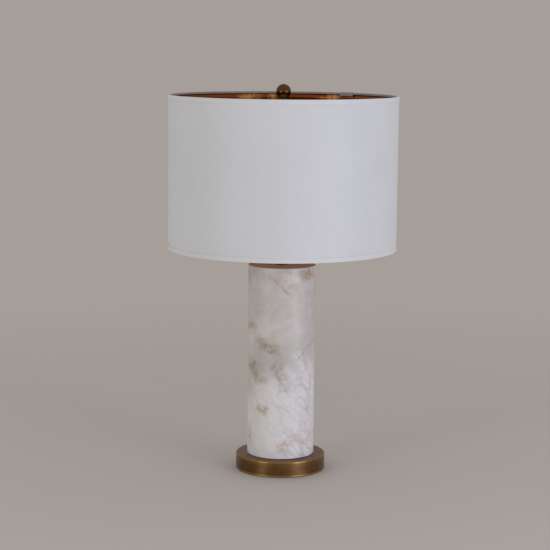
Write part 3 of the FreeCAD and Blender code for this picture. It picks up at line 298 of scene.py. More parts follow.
# %% Surfaces from arrays
def surface(name, points, flat=None, wrap=(True, True)):
    """A closed mesh through a grid of points, which may be wrapped along its rows and its columns.

    A face joins a point, the next row's, the one diagonally across and the next column's. Each
    face is two triangles, and six times the shell's volume is the sum of the triple products of
    their corners, which is negative when the faces look inwards. The flat grid holds each point's
    place on the unbent sheet, with one more row or column where the grid is wrapped.
    """
    rows, columns = points.shape[:2]
    faces_each_way = [np.arange(count - 1 + meets) for count, meets in zip((rows, columns), wrap)]
    i, j = np.meshgrid(*faces_each_way, indexing="ij")
    corners_i = np.stack([i, i + 1, i + 1, i], axis=-1).reshape(-1, 4)
    corners_j = np.stack([j, j, j + 1, j + 1], axis=-1).reshape(-1, 4)
    faces = corners_i % rows * columns + corners_j % columns
    places = points.reshape(-1, 3)
    a, b, c, d = (places[faces[:, k]] for k in range(4))
    if np.sum(a * np.cross(b, c)) + np.sum(a * np.cross(c, d)) < 0:
        faces, corners_i, corners_j = (array[:, ::-1] for array in (faces, corners_i, corners_j))
    mesh = bpy.data.meshes.new(name)
    mesh.vertices.add(len(places))
    mesh.vertices.foreach_set("co", places.ravel())
    mesh.loops.add(faces.size)
    mesh.loops.foreach_set("vertex_index", faces.ravel().astype(np.int32))
    mesh.polygons.add(len(faces))
    mesh.polygons.foreach_set("loop_start", np.arange(0, faces.size, 4, dtype=np.int32))
    mesh.update(calc_edges=True)
    if flat is not None:
        layer = mesh.uv_layers.new(name="flat")
        layer.data.foreach_set("uv", flat[corners_i, corners_j].reshape(-1, 2).ravel())
    shell = bmesh.new()
    shell.from_mesh(mesh)
    bmesh.ops.remove_doubles(shell, verts=shell.verts, dist=1e-7)
    shell.to_mesh(mesh)
    open_edges = sum(not edge.is_manifold for edge in shell.edges)
    shell.free()
    mesh.shade_smooth()
    piece = bpy.data.objects.new(name, mesh)
    bpy.context.collection.objects.link(piece)
    print(name, len(mesh.polygons), "faces,", open_edges, "open edges")
    return piece


def dress(piece, material, body, slot, *nodes):
    """Gives a new piece its finish and its place in the model."""
    piece.data.materials.clear()
    piece.data.materials.append(material)
    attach(piece, body)
    if nodes:
        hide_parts(*nodes)


def around(radius, height, angle):
    """Points round the axis: x and y are the radius times the angle's cosine and sine."""
    radius, height, angle = np.broadcast_arrays(radius, height, angle)
    return np.stack([radius * np.cos(angle), radius * np.sin(angle), height], axis=-1)


# %% [markdown]
# ## The stone
# The column is alabaster: milky, a little see-through and clouded, with grey patches, brown cracks
# and white flecks. A stone's pattern goes right through it, so it is a function of the place in
# the block and not of its skin, and it meets itself at the edge of the top face. Broad noise
# makes the zones, thin lines are where a noise crosses its middle value, and a few marks are put
# where the real block has them.

# %% Stone
stone_low, stone_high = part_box("stone_column")
STONE_RADIUS = (stone_high[0] - stone_low[0]) / 2
stone = Finish("alabaster")
spot = stone.place()


def drift(where, scale, reach):
    """The place moved by soft noise, at most half of reach each way, in metres."""
    values = {"Vector": where, "Scale": scale, "Detail": 3.0}
    colour = stone.add("ShaderNodeTexNoise", {}, values, "Color")
    shift = colour.vector("SUBTRACT", (0.5,) * 3).vector("MULTIPLY", (reach,) * 3)
    return where.vector("ADD", shift)


bent = drift(drift(spot, 24.0, 0.034), 95.0, 0.011)
x, z = spot.part(0), spot.part(2)
clouds = stone.noise(bent, 15, 5, 0.6)
fine_clouds = stone.noise(spot, 85, 5, 0.65)
specks = stone.noise(spot, 420, 3, 0.7)

# %% [markdown]
# The block has three zones: warm and milky above, a grey slanting belt, and a white cloud below.
# The white cloud is drawn out along one slanting direction, like packed snow that has slid. A
# pattern is stretched by measuring the place along and across that direction and using a smaller
# number for the first. A Voronoi pattern then gives long cells with thin tan walls, and a noise
# gives wisps.

# %% Zones, wisps and cells
ALONG_X, ALONG_Z = math.cos(math.radians(52)), -math.sin(math.radians(52))


def slid(where, along_scale, depth_scale, beside_scale):
    """The place, measured along the slanting direction, into the block and across the direction."""
    wx, wy, wz = (where.part(axis) for axis in range(3))
    along, beside = wx * ALONG_X + wz * ALONG_Z, wz * ALONG_X - wx * ALONG_Z
    return stone.join(along * along_scale, wy * depth_scale, beside * beside_scale)


packed = slid(drift(spot, 70.0, 0.010), 34, 60, 118)
packing = {"Vector": packed, "Scale": 1.0}
soft_packing = {**packing, "Smoothness": 0.5}
cells = stone.add("ShaderNodeTexVoronoi", {"feature": "SMOOTH_F1"}, soft_packing, "Distance")
walls = stone.add("ShaderNodeTexVoronoi", {"feature": "DISTANCE_TO_EDGE"}, packing, "Distance")
wisps = stone.noise(slid(bent, 18, 60, 95), 1.0, 4, 0.6)
away = spot.part(1).smooth(-0.045, 0.005)
level = z - x * 0.4 + (clouds - 0.5) * 0.10 + (stone.noise(spot, 7, 3, 0.6) - 0.5) * away * 0.25
white_zone = level.smooth(0.186, 0.146)
belt = level.smooth(0.150, 0.180) * level.smooth(0.262, 0.215) * (1 - away * 0.4)
colour = stone.mix(clouds.smooth(0.36, 0.66), srgb(200, 192, 187), srgb(216, 211, 209))
colour = stone.mix(fine_clouds.smooth(0.5, 0.75) * 0.4, colour, srgb(220, 216, 216))
colour = stone.mix(fine_clouds.smooth(0.48, 0.3) * 0.3, colour, srgb(180, 172, 167))
colour = stone.mix(belt * (0.4 + clouds * 0.5), colour, srgb(187, 184, 178))
snow = white_zone * (0.3 + wisps)
colour = stone.mix(snow, colour, srgb(226, 224, 227))
grainy = white_zone * (0.45 + x.smooth(-0.025, 0.025) * 0.55) * clouds.smooth(0.34, 0.52)
hollows = cells.smooth(0.35, 0.8) * (0.4 + fine_clouds * 0.8)
colour = stone.mix(hollows * grainy * 0.4, colour, srgb(174, 169, 166))
thin_walls = walls.smooth(0.12, 0.0) * grainy * fine_clouds.smooth(0.34, 0.6)
colour = stone.mix(thin_walls * 0.34, colour, srgb(172, 163, 154))
print("zones between", round(stone_low[2], 3), "and", round(stone_high[2], 3), "m")

# %% [markdown]
# Now the marks. A mark is a soft, drawn-out ball at a measured place on the front, read through the
# same drifting place as the clouds, so that its outline is ragged. A Mapping node of the texture
# kind centres, turns and shrinks the place, so that the ball's edge is one unit away. Grey bruises
# come first, then white flecks, then brown threads, which are where a noise crosses its middle
# value, and amber stains last, because they lie on top.

# %% Marks
def mark(x_mm, z_mm, long, wide, tilt=0):
    """1 at a place on the front, fading to 0 at half-lengths long and wide; tilt is in degrees."""
    depth = -math.sqrt(max((1000 * STONE_RADIUS) ** 2 - x_mm * x_mm, 0))
    values = {
        "Vector": bent,
        "Location": tuple(value / 1000 for value in (x_mm, depth, z_mm)),
        "Rotation": (0, -math.radians(tilt), 0),
        "Scale": tuple(value / 1000 for value in (long, long, wide)),
    }
    offset = stone.add("ShaderNodeMapping", {"vector_type": "TEXTURE"}, values)
    return offset.vector("LENGTH", output="Value").smooth(1.0, 0.1)


def strongest(*marks):
    """The strongest of several marks at each point."""
    total = marks[0]
    for other in marks[1:]:
        total = total.larger(other)
    return total


def thin_lines(where, scale, width, detail=4, bend=0.6):
    """Thin wandering lines, where a noise is near its middle value."""
    return abs(stone.noise(where, scale, detail, 0.6, bend) - 0.5).smooth(width, 0.0)


mottle = stone.noise(spot, 110, 4, 0.65)
bruises = strongest(
    mark(-25, 217, 30, 15, -18), mark(-4, 203, 22, 12, -45), mark(-5, 178, 44, 20, -57) * 1.1,
    mark(9, 150, 24, 14, -50), mark(-45, 174, 28, 15, -60), mark(40, 339, 22, 12, -18),
    mark(-48, 247, 15, 10, 20), mark(-30, 160, 22, 9, -25) * 0.8,
    mark(-16, 186, 60, 40, -30) * 0.45,
)
bruises = bruises * (0.3 + mottle.smooth(0.30, 0.62) * 0.7) * 0.4
colour = stone.mix(bruises, colour, srgb(146, 141, 132))
flecks = strongest(mark(31, 333, 9, 6, -30), mark(40, 180, 34, 14, -58), mark(28, 196, 22, 9, -52))
colour = stone.mix(flecks * wisps.smooth(0.35, 0.6) * 0.75, colour, srgb(226, 224, 229))
colour = stone.mix(mark(30, 330, 8, 6, -20) * 0.8, colour, srgb(228, 225, 226))
threads = thin_lines(spot, 36, 0.024).larger(thin_lines(spot, 90, 0.034) * 0.8)
threads = threads * mottle.smooth(0.34, 0.54)
threaded = strongest(
    mark(41, 338, 26, 16, -18), mark(-26, 217, 30, 15, -18), mark(-5, 182, 42, 18, -57) * 0.8,
    mark(-45, 178, 28, 16, -60), mark(10, 148, 24, 12, -50) * 0.7, mark(-49, 45, 16, 11) * 0.6,
    mark(44, 46, 16, 12, 30) * 0.5, mark(-30, 108, 15, 10, -15) * 0.8,
    mark(20, 320, 26, 8, -38) * 0.4, mark(-38, 160, 26, 7, -10) * 0.6,
)
colour = stone.mix(threads * threaded * 0.75, colour, srgb(108, 88, 70))
stains = strongest(
    mark(43, 338, 30, 18, -18), mark(-25, 282, 24, 11, 70) * 0.4, mark(-48, 247, 20, 12, 15) * 0.9,
    mark(-31, 109, 21, 12, -10), mark(10, 53, 26, 14, 8), mark(-22, 216, 26, 14, -18) * 0.5,
    mark(-2, 172, 34, 12, -57) * 0.5, mark(-45, 172, 24, 15, -60) * 0.7,
    mark(-52, 62, 20, 10, 80) * 0.8, mark(-14, 330, 30, 12, -20) * 0.5,
    mark(14, 316, 30, 12, -36) * 0.4, mark(40, 54, 26, 8, 4) * 0.5,
    mark(10, 341, 24, 7, -30) * 0.8, mark(-18, 333, 16, 7, -40) * 0.6,
    mark(26, 315, 8, 20, 0) * 0.4,
)
blotches = stone.noise(spot, 150, 4, 0.75).smooth(0.36, 0.62)
colour = stone.mix(stains * blotches * 0.72, colour, srgb(176, 140, 92))

# %% [markdown]
# The amber vein high on the front is a parabola that numpy's polyfit fits to six measured places.
# A second, fainter vein climbs to the right-hand edge, and the back, which the photograph doesn't
# show, gets a few wandering veins of its own. The top face gets a honey painted glow, standing in
# for the warm light that the copper lining throws down on it.

# %% Veins and the stone's shader
vein_x = np.array([-17.6, -8.2, -1.8, 3.4, 11.8, 28.6]) / 1000
vein_z = np.array([334.5, 325.3, 319.4, 311.1, 303.6, 299.4]) / 1000
curve = [float(number) for number in np.polyfit(vein_x, vein_z, 2)]
front = spot.part(1).smooth(0.0, -0.02)
wobble = (fine_clouds - 0.5) * 0.010 + (mottle - 0.5) * 0.006
vein_height = x * x * curve[0] + x * curve[1] + curve[2]
vein = abs(z + wobble - vein_height).smooth(0.0040, 0.0002) * front
vein = vein * x.smooth(-0.022, -0.008) * x.smooth(0.022, 0.010) * mottle.smooth(0.25, 0.6)
side_vein = abs(z - 0.224 - (x - 0.053) * 1.12 + wobble).smooth(0.0042, 0.0004)
side_vein = side_vein * front * x.smooth(0.020, 0.030) * mottle.smooth(0.25, 0.6)
behind = spot.part(1).smooth(0.0, 0.03)
back_veins = thin_lines(spot, 7, 0.008, 3, 0.3) * clouds.smooth(0.42, 0.55) * behind
veins = strongest(vein * 0.65, side_vein * 0.5, back_veins * 0.5)
colour = stone.mix(veins, colour, srgb(172, 142, 108))
colour = stone.mix(specks.smooth(0.45, 0.75) * 0.28, colour, srgb(158, 150, 142))
# Painted copper glow: the top face is tinted honey in place of the warm light from the lining.
painted_copper_glow = z.smooth(stone_high[2] - 0.0006, stone_high[2] - 0.0001)
colour = stone.mix(painted_copper_glow * 0.9, colour, srgb(232, 194, 150))
alabaster = stone.shade(
    Base_Color=colour,
    Roughness=0.40 + threads * threaded * 0.2 + fine_clouds * 0.08,
    Subsurface_Weight=0.2,
    Subsurface_Radius=(0.006, 0.005, 0.004),
    Normal=stone.bump(specks * 0.15 - threads * threaded, 0.0001),
)
print("amber vein curve", np.round(curve, 3))

# %% [markdown]
# ## Brass
# The base, neck and finial are brass that was darkened with a chemical, then rubbed back so that
# edges shine. A turned piece is brushed round its axis, so the brush marks are noise that changes
# fast along the profile and slowly round it. A metal's colour is its reflection's colour, and the
# finish only varies it: darker patches where the patina is thick, gold where it is worn through.

# %% Brass
def brushed(finish, spot, pitch):
    """Fine rings round the upright axis: noise along the profile, nearly still round it."""
    middle = spot.vector("MULTIPLY", (1, 1, 0))
    turn = middle.vector("NORMALIZE").vector("MULTIPLY", (1.2, 1.2, 0))
    profile = (middle.vector("LENGTH", output="Value") + spot.part(2)) * pitch
    rings = turn.vector("ADD", finish.join(0.0, 0.0, profile))
    return finish.noise(rings, 1.0, 4, 0.7)


def old_brass(name, dark, light, worn, rough, pitch, rings=0.000008, wear=None, **fixed):
    """Darkened brass: patchy between dark and light, with a bright colour where it is worn."""
    finish = Finish(name)
    spot = finish.place()
    patches = finish.noise(spot, 42, 5, 0.6, 0.4)
    marks = brushed(finish, spot, pitch)
    colour = finish.mix(patches.smooth(0.35, 0.68), dark, light)
    colour = finish.mix(marks.smooth(0.35, 0.8) * 0.35, colour, worn)
    rub = finish.noise(spot, 240, 3, 0.6).smooth(0.25, 0.7)
    if wear is not None:
        edge = wear(spot)
        colour = finish.mix(edge * (0.55 + rub * 0.45), colour, worn)
    return finish.shade(
        Base_Color=colour,
        Metallic=1.0,
        Roughness=rough + patches * 0.08 + marks * 0.1,
        Normal=finish.bump(marks, rings, 0.6),
        **fixed,
    )


base_low, base_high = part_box("base_cover")
BASE_RADIUS = base_high[0]


def base_edges(spot):
    """1 where the patina is rubbed off, at the upper edge and the lower rim; less on the wall."""
    reach = spot.vector("MULTIPLY", (1, 1, 0)).vector("LENGTH", output="Value")
    z = spot.part(2)
    rounding = reach.smooth(BASE_RADIUS - 0.0022, BASE_RADIUS - 0.0008)
    upper = rounding * z.smooth(base_high[2] - 0.0030, base_high[2] - 0.0012)
    below = rounding * z.smooth(base_high[2] - 0.012, base_high[2] - 0.002) * 0.22
    lower = z.smooth(base_low[2] + 0.0034, base_low[2] + 0.0016) * 0.85
    return (upper * 0.85).larger(below).larger(lower)


base_brass = old_brass(
    "brushed_antique_brass",
    dark=(0.105, 0.056, 0.022, 1), light=(0.168, 0.092, 0.037, 1), worn=(0.54, 0.32, 0.115, 1),
    rough=0.27, pitch=4200, rings=0.000004, wear=base_edges,
    Anisotropic=0.5, Anisotropic_Rotation=0.25,
)
polished_brass = old_brass(
    "polished_antique_brass",
    dark=(0.090, 0.048, 0.016, 1), light=(0.160, 0.092, 0.031, 1), worn=(0.50, 0.30, 0.10, 1),
    rough=0.17, pitch=3800, rings=0.000003,
)
bright_brass = old_brass(
    "satin_brass",
    dark=(0.50, 0.36, 0.17, 1), light=(0.60, 0.45, 0.22, 1), worn=(0.75, 0.58, 0.30, 1),
    rough=0.25, pitch=3200,
)
print("base radius", round(BASE_RADIUS * 1000, 1), "mm")

# %% [markdown]
# ## Small metals and mouldings
# Steel, plated wire, moulded plastic and vitrified glass are hidden inside the lamp, but they show
# from below or above. One function makes each of these plain finishes: a tint that drifts a
# little, with fine scratches or moulding grain in the roughness and the bump.

# %% Small metals and mouldings
def plain_finish(name, colour, uneven, metallic, rough, grain_scale, grain_depth):
    """A tint that varies by a share, with fine grain."""
    finish = Finish(name)
    spot = finish.place()
    cloud = finish.noise(spot, 60, 4, 0.6)
    grain = finish.noise(spot, grain_scale, 3, 0.7)
    darker = tuple(part * (1 - uneven) for part in colour) + (1.0,)
    tint = finish.mix(cloud.smooth(0.3, 0.7), darker, (*colour, 1.0))
    return finish.shade(
        Base_Color=tint,
        Metallic=metallic,
        Roughness=rough + cloud * 0.08 + grain * 0.1,
        Normal=finish.bump(grain, grain_depth, 0.5),
    )


finishes = {
    "steel": plain_finish("zinc_plate", (0.55, 0.54, 0.51), 0.2, 1.0, 0.28, 1800, 0.00001),
    "iron": plain_finish("cast_iron", (0.10, 0.10, 0.105), 0.4, 1.0, 0.55, 700, 0.0001),
    "bright": plain_finish("drawn_aluminium", (0.74, 0.73, 0.71), 0.12, 1.0, 0.22, 2400, 0.000006),
    "wire": plain_finish("plated_wire", (0.45, 0.33, 0.19), 0.25, 1.0, 0.27, 1500, 0.00001),
    "moulded": plain_finish("moulded_black", (0.022, 0.021, 0.021), 0.4, 0.0, 0.42, 2600, 0.00001),
    "glossy": plain_finish("glossy_black", (0.018, 0.017, 0.018), 0.3, 0.0, 0.14, 900, 0.000004),
    "fibre": plain_finish("pressed_fibre", (0.17, 0.125, 0.09), 0.35, 0.0, 0.8, 1300, 0.00005),
    "rubber": plain_finish("dull_rubber", (0.03, 0.028, 0.026), 0.3, 0.0, 0.7, 2000, 0.00002),
}
print(len(finishes), "small finishes")

# %% [markdown]
# ## Frosted glass
# The bulb is white inside, so it glows softly in any light and only its outside is glossy. A little
# transmission with a high roughness lets light through without showing what is behind it.

# %% Bulb glass
frost = Finish("frosted_glass")
spot = frost.place()
coating = frost.noise(spot, 130, 4, 0.6)
frosted = frost.shade(
    Base_Color=frost.mix(coating, (0.86, 0.86, 0.84, 1), (0.93, 0.93, 0.91, 1)),
    Roughness=0.16 + coating * 0.12,
    Transmission_Weight=0.25,
    Subsurface_Weight=0.3,
    Subsurface_Radius=(0.004, 0.004, 0.004),
    Coat_Weight=0.6,
    Coat_Roughness=0.05,
)
print("glass finish", frosted.name)

# %% [markdown]
# ## Finishes on the hard pieces
# Most hard pieces keep their CAD shape. Each one's own material slots take the finish that is made
# above, and pieces with the same finish share one material. The others are hidden later on, when
# new surfaces take their places, so they need no finish.

# %% Finishes on the hard pieces
worn_on = {
    alabaster: ["stone_column"],
    base_brass: ["base_cover"],
    polished_brass: ["neck", "finial_collar", "finial_ball"],
    bright_brass: [
        "harp_saddle", "harp_loop", "harp_stud", "harp_ferrule_left", "harp_ferrule_right",
        "socket_cap", "socket_shell", "socket_center_contact", "switch_shaft", "finial_insert",
    ],
    finishes["steel"]: [
        "clamp_washer", "lock_washer", "pipe_nut", "threaded_pipe",
        "cap_set_screw", "terminal_screws",
    ],
    finishes["iron"]: ["base_weight"],
    finishes["bright"]: ["bulb_contact"],
    finishes["wire"]: ["shade_top_ring", "shade_bottom_ring", "spider_hub", "spider_arms"],
    finishes["moulded"]: ["cord_bushing", "socket_core"],
    finishes["glossy"]: ["bulb_insulator"],
    finishes["fibre"]: ["socket_sleeve"],
    finishes["rubber"]: ["column_gasket"],
    frosted: ["bulb_glass"],
}
for material, names in worn_on.items():
    for name in names:
        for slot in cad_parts[name].material_slots:
            slot.material = material
print(sum(map(len, worn_on.values())), "hard pieces finished")

# %% [markdown]
# ## Cloth
# The shade's cover is a fine white cotton, woven so closely that it looks smooth from across a
# room. Its material reads the sheet's own flat map, so the threads run round and up the drum. One
# sine gives the threads that run up, one gives those that run round, and slubs, which are thicker
# bits of yarn, are noise drawn out along each thread. The tape over the rims is the same cloth, but
# the part that is folded inside is painted a dull mauve: painted shade with a painted copper tint.

# %% Cloth
YARN_PITCH = 0.00042
SLUB = 0.6
FOLDED_FROM = 0.0104
# Two tones of mauve painted shade, tinted by painted copper light, for the tape inside the rim.
PAINTED_SHADE_MAUVE = ((0.400, 0.345, 0.330, 1), (0.470, 0.410, 0.390, 1))


def cloth_finish(name, shadow, light, painted_shade_inside=False):
    """Plain weave on the flat map, in metres; a folded tape's far edge gets mauve painted shade."""
    finish = Finish(name)
    flat = finish.flat()
    u, v = flat.part(0), flat.part(1)
    turns = 2 * math.pi / YARN_PITCH
    weave = (u * turns).sine() * (v * turns).sine()
    up_slub = finish.noise(finish.join(u * 1300, v * 45, 0.0), 1.0, 3, 0.6)
    round_slub = finish.noise(finish.join(u * 45, v * 1300, 3.7), 1.0, 3, 0.6)
    cloud = finish.noise(finish.join(u, v, 1.3), 9, 3, 0.5)
    tone = ((up_slub + round_slub - 1.0) * SLUB + 0.5 + (cloud - 0.5) * 0.5).smooth(0.1, 0.9)
    colour = finish.mix(tone, shadow, light)
    # Past FOLDED_FROM, inside the rim, the tape is painted in the mauve painted shade.
    if painted_shade_inside:
        painted_shade_tone = finish.mix(tone, *PAINTED_SHADE_MAUVE)
        colour = finish.mix(v.smooth(FOLDED_FROM, FOLDED_FROM + 0.001), colour, painted_shade_tone)
    relief = weave * 0.35 + up_slub + round_slub
    return finish.shade(
        Base_Color=colour,
        Roughness=0.62 + weave * 0.05,
        Sheen_Weight=0.25,
        Sheen_Roughness=0.4,
        Normal=finish.bump(relief, 0.00004, 0.4),
    )


cover_cloth = cloth_finish("white_sateen", (0.600, 0.603, 0.630, 1), (0.665, 0.668, 0.695, 1))
tape_cloth = cloth_finish(
    "white_tape", (0.615, 0.617, 0.638, 1), (0.690, 0.692, 0.712, 1), painted_shade_inside=True
)
# The lapped end is painted all over in the mauve painted shade of the tape's inner fold.
lap_cloth = cloth_finish("painted_shade_tape", *PAINTED_SHADE_MAUVE)
print("yarn pitch", YARN_PITCH * 1000, "mm")

# %% [markdown]
# ## The shade's cover
# The cover is one strip of cloth, glued round the stiff lining with a lapped seam at the back. A
# drum can be a cylinder, but a real strip is never perfect: it stands off the lining by a hair
# here and there, and it steps over its own end at the seam. The strip is a grid of angle and
# height, with a second layer inside it, so that it has a real thickness.

# %% Shade cover
cloth_low, cloth_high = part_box("shade_fabric")
lining_low, lining_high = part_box("shade_lining")
lap_low, lap_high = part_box("trim_lap")
CLOTH_RADIUS, LINING_RADIUS = cloth_high[0], lining_high[0]
CLOTH_THICK = CLOTH_RADIUS - LINING_RADIUS
LAP_FROM, LAP_TO = math.atan2(lap_low[1], lap_high[0]), math.atan2(lap_high[1], lap_low[0])
SEAM = (LAP_FROM + LAP_TO) / 2
LAP_WIDE = 0.012
DRUM_ROWS = 384


def ripple(angle, height, size, waves, seed):
    """A sum of slow waves round and up the drum, each with its own phase, size at most."""
    chance = np.random.default_rng(seed)
    total = np.zeros(np.broadcast_shapes(angle.shape, height.shape))
    for count in waves:
        phase, rise = chance.uniform(0, 2 * math.pi, 2)
        total = total + np.sin(count * angle + phase + 2.0 * np.sin(height * 9 + rise)) / len(waves)
    return size * total


def drum(name, radius, thick, low, high, columns=40, lap=LAP_WIDE, uneven=0.00012, seed=3):
    """A closed wall: radius plus ripples plus the step of the lap, up the outside, down the inside.

    The lap is a plateau as wide as the overlap, one thin layer high, with a sharp side.
    """
    turn = np.linspace(0, 2 * math.pi, DRUM_ROWS, endpoint=False)
    half = lap / radius / 2
    close = np.array([-1.3, -1.02, -0.98, -0.6, 0.0, 0.6, 0.9, 1.02, 1.3]) * half
    angle = np.sort(np.concatenate([turn, (SEAM + close) % (2 * math.pi)]))
    up = np.linspace(low, high, columns)
    inside = np.linspace(high, low, columns)
    away = (angle - SEAM + math.pi) % (2 * math.pi) - math.pi
    near_side = np.clip((away + half * 1.02) / (half * 0.06), 0, 1)
    far_side = np.clip((half * 1.3 - away) / (half * 0.4), 0, 1)
    step = near_side * far_side
    ease = np.sin(math.pi * (up - low) / (high - low))
    wave = ripple(angle[:, None], up[None, :], uneven, (3, 5, 8, 13), seed) * ease[None, :]
    outer = radius - thick * 0.35 - uneven + wave + step[:, None] * thick * 0.3
    outer_wall = around(outer, up[None, :], angle[:, None])
    inner_wall = around(radius - thick, inside[None, :], angle[:, None])
    points = np.concatenate([outer_wall, inner_wall], axis=1)
    lengths = np.append(angle, angle[0] + 2 * math.pi) * radius
    tall = np.concatenate([up, inside, [low]]) - low
    flat = np.stack(np.meshgrid(lengths, tall, indexing="ij"), axis=-1)
    return surface(name, points, flat)


shade_cover = drum("shade_cover", CLOTH_RADIUS, CLOTH_THICK, cloth_low[2], cloth_high[2])
dress(shade_cover, cover_cloth, "shade", "shade_cloth", "shade_fabric")
print("cloth radius and thickness", np.round([CLOTH_RADIUS * 1000, CLOTH_THICK * 1000], 2), "mm")

# %% [markdown]
# ## The copper lining
# Inside is a stiff sheet faced with brushed copper foil, which turns the light warm. Foil brushed
# lengthwise has long level streaks, and where the sheet is bent it has faint upright creases in its
# bump. Bright orange painted glints, which are painted highlights in the foil's colour, are put
# where the photograph has a glint, broken up by small crumples and strongest near the upper rim.
# The shape is the same kind of drum as the cover, so the same function makes it, one layer further
# in.

# %% Lining
FOIL_THICK, FOIL_CLEAR = 0.00048, 0.00002
LINING_TALL = lining_high[2] - lining_low[2]
foil = Finish("brushed_copper")
flat = foil.flat()
u, v = flat.part(0), flat.part(1)
streaks = foil.noise(foil.join(u * 7, v * 950, 0.0), 1.0, 4, 0.7)
wide_streaks = foil.noise(foil.join(u * 4, v * 160, 5.1), 1.0, 3, 0.6)
creases = foil.noise(foil.join(u * 24, v * 2.0, 9.3), 1.0, 3, 0.5)
crumple = foil.noise(foil.join(u * 150, v * 90, 2.2), 1.0, 3, 0.6).smooth(0.40, 0.66)
near_rim = v.smooth(LINING_TALL - 0.040, LINING_TALL - 0.022)
# Painted glints: bright orange painted highlights in the foil's colour, with less metal and more
# roughness where they lie.
painted_glint = 0.0
for degrees, width in ((107.5, 0.030), (95.7, 0.014), (61.3, 0.018), (214.0, 0.010)):
    apart = abs(u + (creases - 0.5) * 0.02 - math.radians(degrees) * LINING_RADIUS)
    painted_glint = apart.smooth(width, 0.0) + painted_glint
tint = foil.mix(streaks.smooth(0.3, 0.75), (0.27, 0.062, 0.014, 1), (0.43, 0.125, 0.034, 1))
tint = foil.mix(wide_streaks.smooth(0.5, 0.72) * 0.3, tint, (0.60, 0.24, 0.075, 1))
painted_glint = painted_glint * (0.35 + crumple * 0.8) * (0.15 + near_rim * 0.85)
tint = foil.mix(painted_glint, tint, (1.0, 0.50, 0.16, 1))
copper = foil.shade(
    Base_Color=tint,
    Metallic=0.95 - painted_glint * 0.4,
    Roughness=0.14 + streaks * 0.12 + painted_glint * 0.25,
    Normal=foil.bump(streaks * 0.15 + creases * 4.0, 0.0003, 0.6),
)
shade_lining = drum(
    "shade_foil_lining", LINING_RADIUS - FOIL_CLEAR, FOIL_THICK, lining_low[2], lining_high[2],
    columns=24, uneven=FOIL_CLEAR, lap=0.010, seed=5,
)
dress(shade_lining, copper, "shade", "shade_foil", "shade_lining")

# %% [markdown]
# ## Tape over the rims
# A cloth tape is folded over each rim and its wire: about 8 mm shows outside and 5 mm inside. Its
# section is one line that climbs the cover, turns over the edge, bends round the wire and hangs
# down inside. The line is followed by its length, so that a thickness can be laid inside it and
# both ends can thin out, as a pressed edge does. Then the section is carried round the drum.
# At the upper rim the line stops sooner near each of the spider's arms, which makes the slit that
# lets the arm out.

# %% Tape
TAPE_THICK = 0.00035
TAPE_OUTSIDE, TAPE_INSIDE = 0.0078, 0.0048
EDGE_ROUND, EDGE_DEPTH = 0.0007, 0.0008
SNUG, SUNK = 0.00005, 0.0001
MARGIN, FOOT_LEAN = 0.0003, 0.0003
WANDER, PUFF = 0.0002, 0.00004
SLIT = math.radians(0.6)
ARM_ANGLES = np.radians([90, 210, 330])
ring_low, ring_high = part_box("shade_top_ring")
rim_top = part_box("top_trim")[1][2]
WIRE = (ring_high[2] - ring_low[2]) / 2
WIRE_LINE, WIRE_DEPTH = ring_high[0] - WIRE, rim_top - ring_high[2] + WIRE
TAPE_RADIUS = CLOTH_RADIUS - SUNK + TAPE_THICK


def arc(centre, radius, start, end, count=24):
    """Points of an arc, as distance from the axis and depth below the rim.

    They are the centre's, plus the radius times the cosine and less the radius times the sine.
    The angles are in degrees, and 90 points to the rim.
    """
    angle = np.radians(np.linspace(start, end, count))
    outward, rimward = radius * np.cos(angle), radius * np.sin(angle)
    return np.stack([centre[0] + outward, centre[1] - rimward], axis=1)


def even_line(points, spacing=0.00005, soften=9):
    """The same line with even spacing and its corners softened by a moving average."""
    steps = np.append(0, np.cumsum(np.hypot(*np.diff(points, axis=0).T)))
    places = np.linspace(0, steps[-1], int(steps[-1] / spacing))
    line = np.stack([np.interp(places, steps, points[:, k]) for k in range(2)], axis=1)
    padded = np.pad(line, ((soften, soften), (0, 0)), mode="reflect", reflect_type="odd")
    kernel = np.ones(2 * soften + 1) / (2 * soften + 1)
    return np.stack([np.convolve(padded[:, k], kernel, "valid") for k in range(2)], axis=1)


def folded(line, start, end, columns=48):
    """Loops of (distance, depth), one for each start: the line up to its end, and back inside it.

    The inner side is the line moved along its normal by the thickness, which eases to almost
    nothing over the last millimetre at both ends. Also gives the length along each loop.
    """
    steps = np.append(0, np.cumsum(np.hypot(*np.diff(line, axis=0).T)))
    tangent = np.gradient(line, steps, axis=0)
    normal = np.stack([-tangent[:, 1], tangent[:, 0]], axis=1)
    even = np.linspace(0, 1, columns)
    share = (1 - np.cos(math.pi * even)) / 2 * 0.35 + even * 0.65
    length = start[:, None] + (end - start)[:, None] * share[None, :]
    edge = np.minimum(length - start[:, None], end[:, None] - length) / 0.001
    thick = TAPE_THICK * (0.12 + 0.88 * np.clip(edge, 0, 1) ** 0.5)
    sides = []
    for inset in (0 * thick, thick):
        places = [np.interp(length, steps, line[:, k]) for k in range(2)]
        inward = [inset * np.interp(length, steps, normal[:, k]) for k in range(2)]
        sides.append(np.stack(places, axis=-1) - np.stack(inward, axis=-1))
    loops = np.concatenate([sides[0], sides[1][:, ::-1]], axis=1)
    return loops, np.concatenate([length, length[:, ::-1]], axis=1)


def nearness(angle, places, width):
    """1 within a width of any of the places, in radians, falling smoothly to 0 at twice that."""
    apart = (angle[:, None] - places[None, :] + math.pi) % (2 * math.pi) - math.pi
    fall = np.clip((2 * width - np.abs(apart).min(axis=1)) / width, 0, 1)
    return fall * fall * (3 - 2 * fall)


